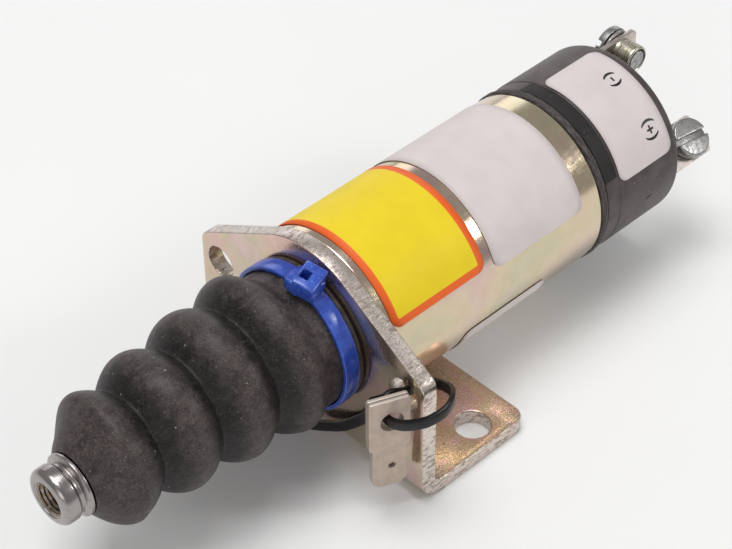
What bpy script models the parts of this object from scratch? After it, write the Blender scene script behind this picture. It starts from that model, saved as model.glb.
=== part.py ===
"""Fuel shutoff solenoid: a round pull solenoid on a folded bracket, with a bellows boot over its plunger.

Metres, +Z up. The origin lies on the foot's underside, midway between its two bolt holes. The solenoid's axis
runs along +X, from the plunger's tip in front to the end cap behind. Places along the axis are measured from
the flange's front face, on an empty that stands there.
"""

import math

import bmesh
import bpy
from mathutils import Matrix, Vector

# Working gaps
SEAT_GAP = 0.0002
LABEL_GAP = 0.0001
RUNNING_GAP = 0.00035

# Mounting bracket, one folded plate
PLATE = 0.0034
FLANGE_HALF_WIDTH = 0.03085
CROWN_RADIUS = 0.0198
CROWN_SLOPE = math.radians(31)
AXIS_HEIGHT = 0.026
FOOT_REACH = 0.02915
FOLD_RADIUS = 0.0055
CORNER_RADIUS = 0.003
EAR_HOLE_INSET = 0.00545
EAR_HOLE = 0.0071
FOOT_HOLE_INSET = 0.00575
FOOT_HOLE = 0.0073
FOOT_HOLE_REACH = 0.0196

# Housing can and its two poles
CAN_RADIUS = 0.01905
CAN_WALL = 0.0018
CAN_LENGTH = 0.0588
POLE_DISC = 0.005
SPIGOT_RADIUS = 0.0102
SPIGOT_REACH = 0.0095
COLLAR_RADIUS = 0.0128
COLLAR_REACH = 0.007
COLLAR_GROOVE = 0.0006
LIP = 0.0018
REAR_DISC = 0.004
REAR_DISC_INSET = 0.0038

# Windings
TUBE_WALL = 0.0006
BOBBIN_WALL = 0.0011
BOBBIN_FLANGE = 0.0015
PULL_DEPTH = 0.0028
HOLD_DEPTH = 0.0025

# Plunger, drawn fully out
STROKE = 0.0254
CORE_RADIUS = 0.0079
ROD_RADIUS = 0.005
CORE_LENGTH = 0.0222
CONE_DEPTH = 0.004
CONE_LAND = 0.0014
CONE_END_RADIUS = 0.0025
AIR_REST = 0.0004

# Tip, a threaded bush on the rod's end
TIP_REACH = 0.0628
TIP_RADIUS = 0.00575
TIP_BORE = 0.0032
TIP_BORE_DEPTH = 0.0065
TIP_NOSE = 0.0038
TIP_WAIST_RADIUS = 0.0053
TIP_RIM_RADIUS = 0.0064
TIP_RIM = 0.001
TIP_GROOVE_RADIUS = 0.0046
TIP_GROOVE = 0.0024
TIP_SHOULDER_RADIUS = 0.0076
TIP_SHOULDER = 0.0018
TIP_TAIL = 0.0026

# Return spring
SPRING_WIRE = 0.0011
SPRING_MEAN_RADIUS = 0.0064
SPRING_TURNS = 9
SPRING_CLOSED_PITCH = 0.0013

# Bellows boot
BOOT_LOBES = 4
BOOT_PITCH = 0.01262
BOOT_CREST = -0.0119
BOOT_FIRST_PEAK = 0.0129
BOOT_LAST_PEAK = 0.0168
BOOT_VALLEY_DEPTH = 0.0037
BOOT_WALL = 0.0016
BOOT_NECK_RADIUS = 0.0064
BOOT_DOME = 0.0077
CUFF_RADIUS = 0.0145
CUFF_LENGTH = 0.0069
CUFF_BEAD_RADIUS = 0.0154
CUFF_BEAD = 0.0008

# Boot tie, a moulded strap and head
BOOT_TIE_FRONT = 0.005
BOOT_TIE_WIDTH = 0.0036
BOOT_TIE_STRAP = 0.00095
BOOT_TIE_ANGLE = math.radians(15.5)
BOOT_TIE_TWIST = math.radians(18)
BOOT_TIE_HEAD = (0.006, 0.0046, 0.0036)
BOOT_TIE_HEAD_REACH = 0.0039
BOOT_TIE_HEAD_TOP = 0.0198
BOOT_TIE_SLOT = (0.0024, 0.002)

# End cap and gasket
GASKET = 0.0017
GASKET_RADIUS = 0.0194
CAP_RADIUS = 0.0192
CAP_LENGTH = 0.0222
CAP_EDGE = 0.0016
CAP_WALL = 0.0026
CAP_SPIGOT = 0.0033
CAP_SPIGOT_WALL = 0.0024
CAP_POST_RADIUS = 0.0032

# Switch inside the cap
SWITCH_TRAVEL = 0.0015
PIN_RADIUS = 0.0015
PIN_SPIGOT_RADIUS = 0.001
PIN_SPIGOT = 0.003
BOARD_RADIUS = 0.0138
BOARD = 0.002
CONTACT_RADIUS = 0.0022
CONTACT_HEIGHT = 0.0022
CONTACT_OFFSET = 0.0058
BRIDGE = (0.0008, 0.0168, 0.005)
CONTACT_SPRING_RADIUS = 0.0022
CONTACT_SPRING_WIRE = 0.0005
CONTACT_SPRING_TURNS = 6
CONTACT_SPRING_LENGTH = 0.0105

# Terminals: name, turn about the axis, height of the screw's seat, screw's offset, tab's centre
TERMINALS = (
    ("negative", math.radians(-90), 0.0060, 0.0128, 0.0116),
    ("positive", math.radians(36), 0.0079, 0.0116, 0.0116),
)
TAB = 0.001
TAB_WIDTH = 0.009
TAB_END = 0.0126
TAB_ROOT = 0.0062
TAB_CORNER = 0.0012
BUSH_RADIUS = 0.0032
BUSH_HEIGHT = 0.0057
SCREW_REACH = 0.0078
SCREW_HEAD_RADIUS = 0.0043
SCREW_HEAD = 0.0019
SCREW_SLOT = (0.0012, 0.0012)
SCREW_SHANK_RADIUS = 0.00235
SCREW_LENGTH = 0.007
WASHER = 0.0006
WASHER_RADIUS = 0.0041

# Labels: name, front edge, rear edge and the two turns from the top towards the camera's side
LABEL = 0.00015
LABEL_CORNER = 0.002
LABELS = (
    ("front_label", 0.0055, 0.0304, math.radians(-58), math.radians(67.5)),
    ("rear_label", 0.0330, 0.0595, math.radians(-64), math.radians(72)),
    ("under_label", 0.0240, 0.0470, math.radians(107), math.radians(174)),
    ("polarity_label", 0.0684, 0.0846, math.radians(-12), math.radians(72)),
)

# Loose spade adapters, tied to the ear. Their places and their tie's are measured from the ear hole's centre
ADAPTER = 0.0008
ADAPTER_RING = (0.0082, 0.0123)
ADAPTER_TAB = (0.0068, 0.0101)
ADAPTER_HOLE = 0.0046
ADAPTER_HOLE_DROP = 0.0055
ADAPTER_DIMPLE = 0.0015
ADAPTER_DIMPLE_DROP = 0.0172
ADAPTER_CHAMFER = 0.0012
ADAPTER_SHIFT = 0.0005
ADAPTER_PLACE = (-0.0053, -0.0019, 0.0034)
ADAPTER_TURN = math.radians(-23.6)

# The adapters' tie
ADAPTER_TIE = (0.0011, 0.0023)
ADAPTER_TIE_HEAD = (0.0036, 0.0024, 0.0036)
ADAPTER_TIE_HEAD_PLACE = (-0.0047, 0.0013, -0.0004)
ADAPTER_TIE_LOOP = (
    (-0.0039, 0.0011, 0.0004),
    (-0.0024, 0.0010, 0.0010),
    (0.0004, 0.0000, 0.0004),
    (0.0034, -0.0004, 0.0002),
    (0.0062, -0.0026, 0.0004),
    (0.0060, -0.0064, 0.0016),
    (0.0036, -0.0090, 0.0026),
    (0.0008, -0.0098, 0.0022),
    (-0.0024, -0.0084, 0.0008),
    (-0.0046, -0.0053, -0.0008),
    (-0.0052, -0.0024, -0.0018),
    (-0.0051, -0.0002, -0.0016),
    (-0.0047, 0.0011, -0.0012),
)
ADAPTER_TIE_TAIL = (
    (-0.0047, 0.0015, -0.0004),
    (-0.0050, 0.0032, -0.0024),
    (-0.0036, 0.0050, -0.0060),
    (-0.0024, 0.0081, -0.0106),
    (-0.0022, 0.0137, -0.0168),
    (-0.0022, 0.0192, -0.0210),
    (-0.0022, 0.0234, -0.0238),
)

# Steps round a turn
FINE = 48
MEDIUM = 32
COARSE = 24
SMALL = 18

# Worked out from the sizes above
EAR_HOLE_OUT = FLANGE_HALF_WIDTH - EAR_HOLE_INSET
FOOT_HOLE_OUT = FLANGE_HALF_WIDTH - FOOT_HOLE_INSET
CAN_FRONT = PLATE + SEAT_GAP
CAN_REAR = CAN_FRONT + CAN_LENGTH
CAN_BORE = CAN_RADIUS - CAN_WALL
POLE_RADIUS = CAN_BORE - SEAT_GAP
TUBE_BORE = CORE_RADIUS + RUNNING_GAP
TUBE_RADIUS = TUBE_BORE + TUBE_WALL
LIP_REAR = -SPIGOT_REACH + LIP
CORE_FRONT = LIP_REAR + AIR_REST
CORE_REAR = CORE_FRONT + CORE_LENGTH
CORE_NOSE = CORE_REAR + CONE_DEPTH
REAR_DISC_REAR = CAN_REAR - REAR_DISC_INSET
REAR_DISC_FRONT = REAR_DISC_REAR - REAR_DISC
SEAT_FACE = CORE_REAR + STROKE + AIR_REST
SEAT_BOTTOM = SEAT_FACE + CONE_DEPTH
PIN_FRONT = CORE_NOSE + STROKE + RUNNING_GAP - SWITCH_TRAVEL
BOARD_FRONT = REAR_DISC_REAR + SEAT_GAP
BOARD_REAR = BOARD_FRONT + BOARD
CONTACT_REAR = BOARD_REAR + SEAT_GAP + CONTACT_HEIGHT
BRIDGE_FRONT = CONTACT_REAR + SEAT_GAP
BRIDGE_REAR = BRIDGE_FRONT + BRIDGE[0]
GASKET_FRONT = CAN_REAR + SEAT_GAP
CAP_FRONT = GASKET_FRONT + GASKET + SEAT_GAP
CAP_REAR = CAP_FRONT + CAP_LENGTH
CONTACT_SPRING_FRONT = BRIDGE_REAR + SEAT_GAP
CONTACT_SPRING_REAR = CONTACT_SPRING_FRONT + CONTACT_SPRING_LENGTH
TIP_RIM_FRONT = -TIP_REACH + TIP_NOSE + TIP_RIM
TIP_GROOVE_FRONT = TIP_RIM_FRONT + TIP_RIM
TIP_SHOULDER_FRONT = TIP_GROOVE_FRONT + TIP_GROOVE
TIP_SHOULDER_REAR = TIP_SHOULDER_FRONT + TIP_SHOULDER
TIP_REAR = TIP_SHOULDER_REAR + TIP_TAIL
BOOT_NECK_FRONT = TIP_GROOVE_FRONT + SEAT_GAP
BOOT_REAR = -2 * SEAT_GAP
CUFF_FRONT = BOOT_REAR - CUFF_LENGTH
BOOT_TIE_RADIUS = CUFF_RADIUS + SEAT_GAP


def finish(name, colour, roughness, metallic=0.0):
    """A Principled material of one colour."""
    material = bpy.data.materials.new(name)
    material.use_nodes = True
    shader = material.node_tree.nodes["Principled BSDF"]
    shader.inputs["Base Color"].default_value = (*colour, 1)
    shader.inputs["Roughness"].default_value = roughness
    shader.inputs["Metallic"].default_value = metallic
    material.diffuse_color = (*colour, 1)
    return material


def collection(name):
    made = bpy.data.collections.new(name)
    bpy.context.scene.collection.children.link(made)
    return made


def add(name, data, parent, material=None, cutter=False):
    """A new object of this data under parent, among the parts or among the cutters."""
    obj = bpy.data.objects.new(name, data)
    (CUTTERS if cutter else PARTS).objects.link(obj)
    obj.parent = parent
    if material:
        obj.data.materials.append(material)
    if cutter:
        obj.hide_render = True
        obj.display_type = "WIRE"
    return obj


def frame_empty(name, parent=None, location=(0, 0, 0), rotation=(0, 0, 0)):
    empty = bpy.data.objects.new(name, None)
    PARTS.objects.link(empty)
    empty.parent = parent
    empty.location = location
    empty.rotation_euler = rotation
    return empty


def arc(centre, radius, start, end, steps):
    """Points along an arc, in degrees, anticlockwise where end is past start."""
    turns = [math.radians(start + (end - start) * i / steps) for i in range(steps + 1)]
    return [(centre[0] + radius * math.cos(t), centre[1] + radius * math.sin(t)) for t in turns]


def filleted(corners, steps=5):
    """An outline through (x, y, radius) corners, each rounded by an arc of its radius."""
    outline = []
    for i, (x, y, radius) in enumerate(corners):
        here = Vector((x, y))
        if radius <= 0:
            outline.append((x, y))
            continue
        before = (Vector(corners[i - 1][:2]) - here).normalized()
        after = (Vector(corners[(i + 1) % len(corners)][:2]) - here).normalized()
        half = before.angle(after) / 2
        centre = here + (before + after).normalized() * radius / math.sin(half)
        first = here + before * radius / math.tan(half) - centre
        sweep = first.angle_signed(here + after * radius / math.tan(half) - centre)
        for k in range(steps + 1):
            outline.append(tuple(centre + Matrix.Rotation(-sweep * k / steps, 2) @ first))
    return outline


def turned(name, outline, material, parent, steps=MEDIUM, cutter=False):
    """A turned solid. Its outline of (x, radius) runs to the rear outside, and a ring's comes back inside."""
    points = [(radius, 0, x) for x, radius in reversed(outline)]
    count = len(points)
    edges = [(i, (i + 1) % count) for i in range(count) if points[i][0] > 0 or points[(i + 1) % count][0] > 0]
    mesh = bpy.data.meshes.new(name)
    mesh.from_pydata(points, edges, [])
    obj = add(name, mesh, parent, material, cutter)
    obj.rotation_euler = (0, math.pi / 2, 0)
    screw = obj.modifiers.new("Turn", "SCREW")
    screw.steps = screw.render_steps = steps
    screw.use_smooth_shade = True
    screw.use_merge_vertices = True
    screw.merge_threshold = 1e-6
    return obj


def rounding(obj, width, segments=1):
    """Rounds the edges that meet at more than 40 degrees."""
    bevel = obj.modifiers.new("Rounding", "BEVEL")
    bevel.width = width
    bevel.segments = segments
    bevel.limit_method = "ANGLE"
    bevel.angle_limit = math.radians(40)


def ring_outline(front, rear, bore, radius):
    return [(front, radius), (rear, radius), (rear, bore), (front, bore)]


def flat(name, outlines, thickness, material, parent, cutter=False):
    """A flat piece, centred on its plane: the first outline is its edge and the others are holes."""
    curve = bpy.data.curves.new(name, "CURVE")
    curve.dimensions = "2D"
    curve.fill_mode = "BOTH"
    curve.extrude = thickness / 2
    for outline in outlines:
        spline = curve.splines.new("POLY")
        spline.points.add(len(outline) - 1)
        for point, (x, y) in zip(spline.points, outline):
            point.co = (x, y, 0, 1)
        spline.use_cyclic_u = True
    return meshed(name, curve, material, parent, cutter)


def meshed(name, curve, material, parent, cutter=False):
    """The curve's solid as a welded mesh object."""
    guide = bpy.data.objects.new(name + "_guide", curve)
    PARTS.objects.link(guide)
    bpy.context.view_layer.update()
    evaluated = guide.evaluated_get(bpy.context.evaluated_depsgraph_get())
    mesh = bpy.data.meshes.new_from_object(evaluated)
    bpy.data.objects.remove(guide)
    mesh.name = name
    work = bmesh.new()
    work.from_mesh(mesh)
    bmesh.ops.remove_doubles(work, verts=work.verts, dist=1e-6)
    bmesh.ops.recalc_face_normals(work, faces=work.faces)
    work.to_mesh(mesh)
    work.free()
    return add(name, mesh, parent, material, cutter)


def box(name, size, location, parent, material=None, cutter=False, bevel=0.0, segments=1):
    mesh = bpy.data.meshes.new(name)
    work = bmesh.new()
    bmesh.ops.create_cube(work, size=1)
    bmesh.ops.scale(work, vec=size, verts=work.verts)
    work.to_mesh(mesh)
    work.free()
    obj = add(name, mesh, parent, material, cutter)
    obj.location = location
    if bevel:
        rounding(obj, bevel, segments)
    return obj


def drum(name, radius, depth, location, rotation, parent, material=None, steps=SMALL, cutter=False):
    """A plain cylinder along its own Z, turned into place."""
    mesh = bpy.data.meshes.new(name)
    work = bmesh.new()
    bmesh.ops.create_cone(work, cap_ends=True, segments=steps, radius1=radius, radius2=radius, depth=depth)
    work.to_mesh(mesh)
    work.free()
    obj = add(name, mesh, parent, material, cutter)
    obj.location = location
    obj.rotation_euler = rotation
    return obj


ALONG_X = (0, math.pi / 2, 0)
UPRIGHT = (0, 0, 0)


def drill(obj, name, diameter, location, rotation, parent, steps=COARSE):
    """A round hole through a plate near this place."""
    boolean(obj, drum(name, diameter / 2, 3 * PLATE, location, rotation, parent, steps=steps, cutter=True))


def boolean(obj, tool, operation="DIFFERENCE", crossing=False):
    """Cuts obj by tool or joins them; crossing is for a form that may touch itself."""
    modifier = obj.modifiers.new(tool.name, "BOOLEAN")
    modifier.operation = operation
    modifier.solver = "EXACT"
    modifier.use_self = crossing
    modifier.object = tool


def mounting_bracket(axis):
    """One plate folded into a flange and a foot, with a crown concentric with the can."""
    low = -AXIS_HEIGHT
    high = CROWN_RADIUS + PLATE
    bend = [
        (0, high, 0),
        (0, low, FOLD_RADIUS),
        (FOOT_REACH, low, 0),
        (FOOT_REACH, low + PLATE, 0),
        (PLATE, low + PLATE, FOLD_RADIUS - PLATE),
        (PLATE, high, 0),
    ]
    width = 2 * FLANGE_HALF_WIDTH
    bracket = flat("mounting_bracket", [filleted(bend, 6)], width, FINISHES["plating"], axis)
    bracket.rotation_euler = (math.pi / 2, 0, 0)

    shoulder = (CROWN_RADIUS - FLANGE_HALF_WIDTH * math.sin(CROWN_SLOPE)) / math.cos(CROWN_SLOPE)
    spare = 2 * PLATE
    face = [
        (-FLANGE_HALF_WIDTH, low - spare, 0),
        (FLANGE_HALF_WIDTH, low - spare, 0),
        (FLANGE_HALF_WIDTH, shoulder, CORNER_RADIUS),
        (0, CROWN_RADIUS / math.cos(CROWN_SLOPE), CROWN_RADIUS),
        (-FLANGE_HALF_WIDTH, shoulder, CORNER_RADIUS),
    ]
    front = flat("flange_outline", [filleted(face, 14)], 4 * FOOT_REACH, None, axis, cutter=True)
    front.rotation_euler = (math.pi / 2, 0, math.pi / 2)
    boolean(bracket, front, "INTERSECT")

    base = [
        (-spare, -FLANGE_HALF_WIDTH, 0),
        (FOOT_REACH, -FLANGE_HALF_WIDTH, CORNER_RADIUS),
        (FOOT_REACH, FLANGE_HALF_WIDTH, CORNER_RADIUS),
        (-spare, FLANGE_HALF_WIDTH, 0),
    ]
    plan = flat("foot_outline", [filleted(base)], 4 * AXIS_HEIGHT, None, axis, cutter=True)
    boolean(bracket, plan, "INTERSECT")

    drill(bracket, "spigot_hole", 2 * (SPIGOT_RADIUS + SEAT_GAP), (0, 0, 0), ALONG_X, axis, MEDIUM)
    for side, sign in (("left", 1), ("right", -1)):
        drill(bracket, f"ear_hole_{side}", EAR_HOLE, (0, sign * EAR_HOLE_OUT, 0), ALONG_X, axis)
        foot = (FOOT_HOLE_REACH, sign * FOOT_HOLE_OUT, low)
        drill(bracket, f"foot_hole_{side}", FOOT_HOLE, foot, UPRIGHT, axis)


def housing(axis):
    """The can, the two poles that close it and the collar that seats the boot."""
    steel = FINISHES["plating"]
    iron = FINISHES["iron"]
    turned("housing_can", ring_outline(CAN_FRONT, CAN_REAR, CAN_BORE, CAN_RADIUS), steel, axis, FINE)
    disc_rear = CAN_FRONT + POLE_DISC
    tube_hole = TUBE_RADIUS + SEAT_GAP
    turned(
        "front_pole",
        [
            (-SPIGOT_REACH, SPIGOT_RADIUS),
            (CAN_FRONT, SPIGOT_RADIUS),
            (CAN_FRONT, POLE_RADIUS),
            (disc_rear, POLE_RADIUS),
            (disc_rear, tube_hole),
            (LIP_REAR, tube_hole),
            (LIP_REAR, ROD_RADIUS + RUNNING_GAP),
            (-SPIGOT_REACH, ROD_RADIUS + RUNNING_GAP),
        ],
        iron,
        axis,
    )
    groove_front = -BOOT_TIE_FRONT
    groove_rear = groove_front + BOOT_TIE_WIDTH
    groove = COLLAR_RADIUS - COLLAR_GROOVE
    bore = SPIGOT_RADIUS + SEAT_GAP
    turned(
        "boot_collar",
        [
            (-COLLAR_REACH, COLLAR_RADIUS),
            (groove_front, COLLAR_RADIUS),
            (groove_front, groove),
            (groove_rear, groove),
            (groove_rear, COLLAR_RADIUS),
            (-SEAT_GAP, COLLAR_RADIUS),
            (-SEAT_GAP, bore),
            (-COLLAR_REACH, bore),
        ],
        iron,
        axis,
    )
    core = TUBE_BORE - RUNNING_GAP
    pin_hole = PIN_RADIUS + RUNNING_GAP
    turned(
        "rear_pole",
        [
            (SEAT_FACE, core),
            (REAR_DISC_FRONT, core),
            (REAR_DISC_FRONT, POLE_RADIUS),
            (REAR_DISC_REAR, POLE_RADIUS),
            (REAR_DISC_REAR, pin_hole),
            (SEAT_BOTTOM, pin_hole),
            (SEAT_BOTTOM, CONE_END_RADIUS + AIR_REST),
            (SEAT_FACE, CORE_RADIUS - CONE_LAND + AIR_REST),
        ],
        iron,
        axis,
    )


def windings(axis):
    """The brass guide tube, the bobbin on it and the two coils in the bobbin."""
    tube_front = LIP_REAR + SEAT_GAP
    tube_rear = REAR_DISC_FRONT - SEAT_GAP
    wall = ring_outline(tube_front, tube_rear, TUBE_BORE, TUBE_RADIUS)
    turned("guide_tube", wall, FINISHES["brass"], axis, COARSE)
    front = CAN_FRONT + POLE_DISC + SEAT_GAP
    rear = REAR_DISC_FRONT - SEAT_GAP
    bore = TUBE_RADIUS + SEAT_GAP
    barrel = bore + BOBBIN_WALL
    rim = CAN_BORE - 2 * SEAT_GAP
    turned(
        "bobbin",
        [
            (front, rim),
            (front + BOBBIN_FLANGE, rim),
            (front + BOBBIN_FLANGE, barrel),
            (rear - BOBBIN_FLANGE, barrel),
            (rear - BOBBIN_FLANGE, rim),
            (rear, rim),
            (rear, bore),
            (front, bore),
        ],
        FINISHES["nylon"],
        axis,
    )
    coil_front = front + BOBBIN_FLANGE + SEAT_GAP
    coil_rear = rear - BOBBIN_FLANGE - SEAT_GAP
    pull_bore = barrel + SEAT_GAP
    pull_radius = pull_bore + PULL_DEPTH
    hold_bore = pull_radius + SEAT_GAP
    for name, inner, outer in (
        ("pull_winding", pull_bore, pull_radius),
        ("hold_winding", hold_bore, hold_bore + HOLD_DEPTH),
    ):
        turned(name, ring_outline(coil_front, coil_rear, inner, outer), FINISHES["copper"], axis, COARSE)


def plunger(slide):
    """The iron core with its rod, and the threaded bush on the rod's end that carries the boot's neck."""
    spigot = TIP_BORE - SEAT_GAP
    spigot_front = -TIP_REACH + TIP_BORE_DEPTH
    rod_front = TIP_REAR + SEAT_GAP
    turned(
        "plunger_core",
        [
            (spigot_front, 0),
            (spigot_front, spigot),
            (rod_front, spigot),
            (rod_front, ROD_RADIUS),
            (CORE_FRONT, ROD_RADIUS),
            (CORE_FRONT, CORE_RADIUS),
            (CORE_REAR, CORE_RADIUS),
            (CORE_REAR, CORE_RADIUS - CONE_LAND),
            (CORE_NOSE, CONE_END_RADIUS),
            (CORE_NOSE, 0),
        ],
        FINISHES["iron"],
        slide,
        COARSE,
    )
    edge = 0.0012
    mouth = 0.0004
    nose_rear = -TIP_REACH + TIP_NOSE
    turned(
        "plunger_tip",
        [
            (-TIP_REACH, TIP_BORE + mouth),
            *arc((-TIP_REACH + edge, TIP_RADIUS - edge), edge, 180, 90, 4),
            (nose_rear - mouth, TIP_RADIUS),
            (nose_rear, TIP_WAIST_RADIUS),
            (nose_rear + TIP_RIM / 2, TIP_WAIST_RADIUS),
            (TIP_RIM_FRONT, TIP_RIM_RADIUS),
            (TIP_GROOVE_FRONT, TIP_RIM_RADIUS),
            (TIP_GROOVE_FRONT, TIP_GROOVE_RADIUS),
            (TIP_SHOULDER_FRONT, TIP_GROOVE_RADIUS),
            (TIP_SHOULDER_FRONT, TIP_SHOULDER_RADIUS),
            (TIP_SHOULDER_REAR, TIP_SHOULDER_RADIUS),
            (TIP_SHOULDER_REAR, ROD_RADIUS),
            (TIP_REAR, ROD_RADIUS),
            (TIP_REAR, TIP_BORE),
            (-TIP_REACH + mouth, TIP_BORE),
        ],
        FINISHES["nickel"],
        slide,
        COARSE,
    )


def helix(name, front, rear, mean_radius, wire, turns, closed_pitch, material, parent, points_per_turn=12):
    """A compression spring with one closed turn at each end, as a wire along X."""
    first = front + wire / 2
    last = rear - wire / 2
    open_turns = turns - 2
    open_pitch = (last - first - 2 * closed_pitch) / open_turns
    curve = bpy.data.curves.new(name, "CURVE")
    curve.dimensions = "3D"
    curve.bevel_depth = wire / 2
    curve.bevel_resolution = 0
    curve.use_fill_caps = True
    spline = curve.splines.new("POLY")
    count = turns * points_per_turn + 1
    spline.points.add(count - 1)
    for i in range(count):
        turn = i / points_per_turn
        x = first + closed_pitch * min(turn, 1) + open_pitch * min(max(turn - 1, 0), open_turns)
        x += closed_pitch * max(turn - 1 - open_turns, 0)
        angle = 2 * math.pi * turn
        y = mean_radius * math.cos(angle)
        z = mean_radius * math.sin(angle)
        spline.points[i].co = (x, y, z, 1)
    return meshed(name, curve, material, parent)


def boot_line():
    """The boot's outer line as (x, radius), from its neck to the rim behind the cuff."""
    first_peak = BOOT_CREST - BOOT_PITCH * (BOOT_LOBES - 1)
    growth = (BOOT_LAST_PEAK - BOOT_FIRST_PEAK) / (BOOT_LOBES - 1)
    neck = [(BOOT_NECK_FRONT, BOOT_NECK_RADIUS - 0.0006), (BOOT_NECK_FRONT + 0.0003, BOOT_NECK_RADIUS)]
    dome_steps = 6
    dome = []
    for i in range(1, dome_steps):
        share = 1 - i / dome_steps
        rise = math.cos(share * math.pi / 2)
        x = first_peak - BOOT_DOME * share
        dome.append((x, BOOT_NECK_RADIUS + (BOOT_FIRST_PEAK - BOOT_NECK_RADIUS) * rise))
    line = neck + [point for point in dome if point[0] > neck[-1][0] + 0.0002]
    lobe_steps = 6
    for i in range((BOOT_LOBES - 1) * lobe_steps + 1):
        phase = i / lobe_steps
        crest = BOOT_FIRST_PEAK + growth * phase
        bulge = abs(math.cos(phase * math.pi)) ** 0.8
        line.append((first_peak + BOOT_PITCH * phase, crest - BOOT_VALLEY_DEPTH * (1 - bulge)))
    for share in (0.3, 0.6, 0.85):
        drop = (1 - math.cos(share * math.pi)) / 2
        x = BOOT_CREST + (CUFF_FRONT - BOOT_CREST) * share
        line.append((x, BOOT_LAST_PEAK + (CUFF_RADIUS - BOOT_LAST_PEAK) * drop))
    line.append((CUFF_FRONT, CUFF_RADIUS))
    line.append((BOOT_REAR - CUFF_BEAD - 0.0002, CUFF_RADIUS))
    line.append((BOOT_REAR - CUFF_BEAD, CUFF_BEAD_RADIUS))
    line.append((BOOT_REAR, CUFF_BEAD_RADIUS))
    return line, first_peak, growth


def boot_bore(first_peak, growth):
    """The boot's inner line, from the rim back to the neck, one wall inside the lobes."""
    collar = COLLAR_RADIUS + SEAT_GAP
    neck = TIP_GROOVE_RADIUS + SEAT_GAP
    neck_rear = TIP_SHOULDER_FRONT - SEAT_GAP
    line = [(BOOT_REAR, collar), (-COLLAR_REACH - SEAT_GAP, collar)]
    lobe_steps = 4
    for i in range((BOOT_LOBES - 1) * lobe_steps, -1, -1):
        phase = i / lobe_steps
        crest = BOOT_FIRST_PEAK + growth * phase - BOOT_WALL
        bulge = abs(math.cos(phase * math.pi))
        line.append((first_peak + BOOT_PITCH * phase, crest - BOOT_VALLEY_DEPTH * (1 - bulge)))
    line.append((neck_rear + 0.0012, TIP_SHOULDER_RADIUS + 0.0014))
    line.append((neck_rear, TIP_SHOULDER_RADIUS + 2 * SEAT_GAP))
    line.append((neck_rear, neck))
    line.append((BOOT_NECK_FRONT, neck))
    return line


def boot(axis):
    """The rubber bellows, one moulding, from the tip's groove to the collar."""
    outer, first_peak, growth = boot_line()
    turned("boot", outer + boot_bore(first_peak, growth), FINISHES["rubber"], axis, MEDIUM)


def boot_tie(axis):
    """A strap round the boot's cuff and the head that locks it, one moulding with a square slot."""
    front = -BOOT_TIE_FRONT
    outer = BOOT_TIE_RADIUS + BOOT_TIE_STRAP
    strap = turned(
        "boot_tie",
        ring_outline(front, front + BOOT_TIE_WIDTH, BOOT_TIE_RADIUS, outer),
        FINISHES["blue_nylon"],
        axis,
        MEDIUM,
    )
    turn = frame_empty("boot_tie_head_frame", axis, rotation=(BOOT_TIE_ANGLE, 0, 0))
    _, width, height = BOOT_TIE_HEAD
    middle = front + BOOT_TIE_WIDTH / 2
    base = BOOT_TIE_RADIUS + BOOT_TIE_STRAP / 2
    root_top = BOOT_TIE_HEAD_TOP - height / 2
    root = box(
        "boot_tie_root",
        (BOOT_TIE_WIDTH - 2 * SEAT_GAP, width, root_top - base),
        (middle, 0, (base + root_top) / 2),
        turn,
        cutter=True,
    )
    boolean(strap, root, "UNION")
    top = (-BOOT_TIE_HEAD_REACH, 0, BOOT_TIE_HEAD_TOP)
    place = frame_empty("boot_tie_head_place", turn, top, (0, 0, BOOT_TIE_TWIST))
    head = box("boot_tie_head", BOOT_TIE_HEAD, (0, 0, -height / 2), place, cutter=True, bevel=0.0006)
    boolean(strap, head, "UNION")
    depth = BOOT_TIE_HEAD_TOP - outer - 0.0006
    slot = box(
        "boot_tie_slot",
        (*BOOT_TIE_SLOT, 2 * depth),
        (0, width / 2 - BOOT_TIE_SLOT[1], 0),
        place,
        cutter=True,
    )
    boolean(strap, slot)


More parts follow.
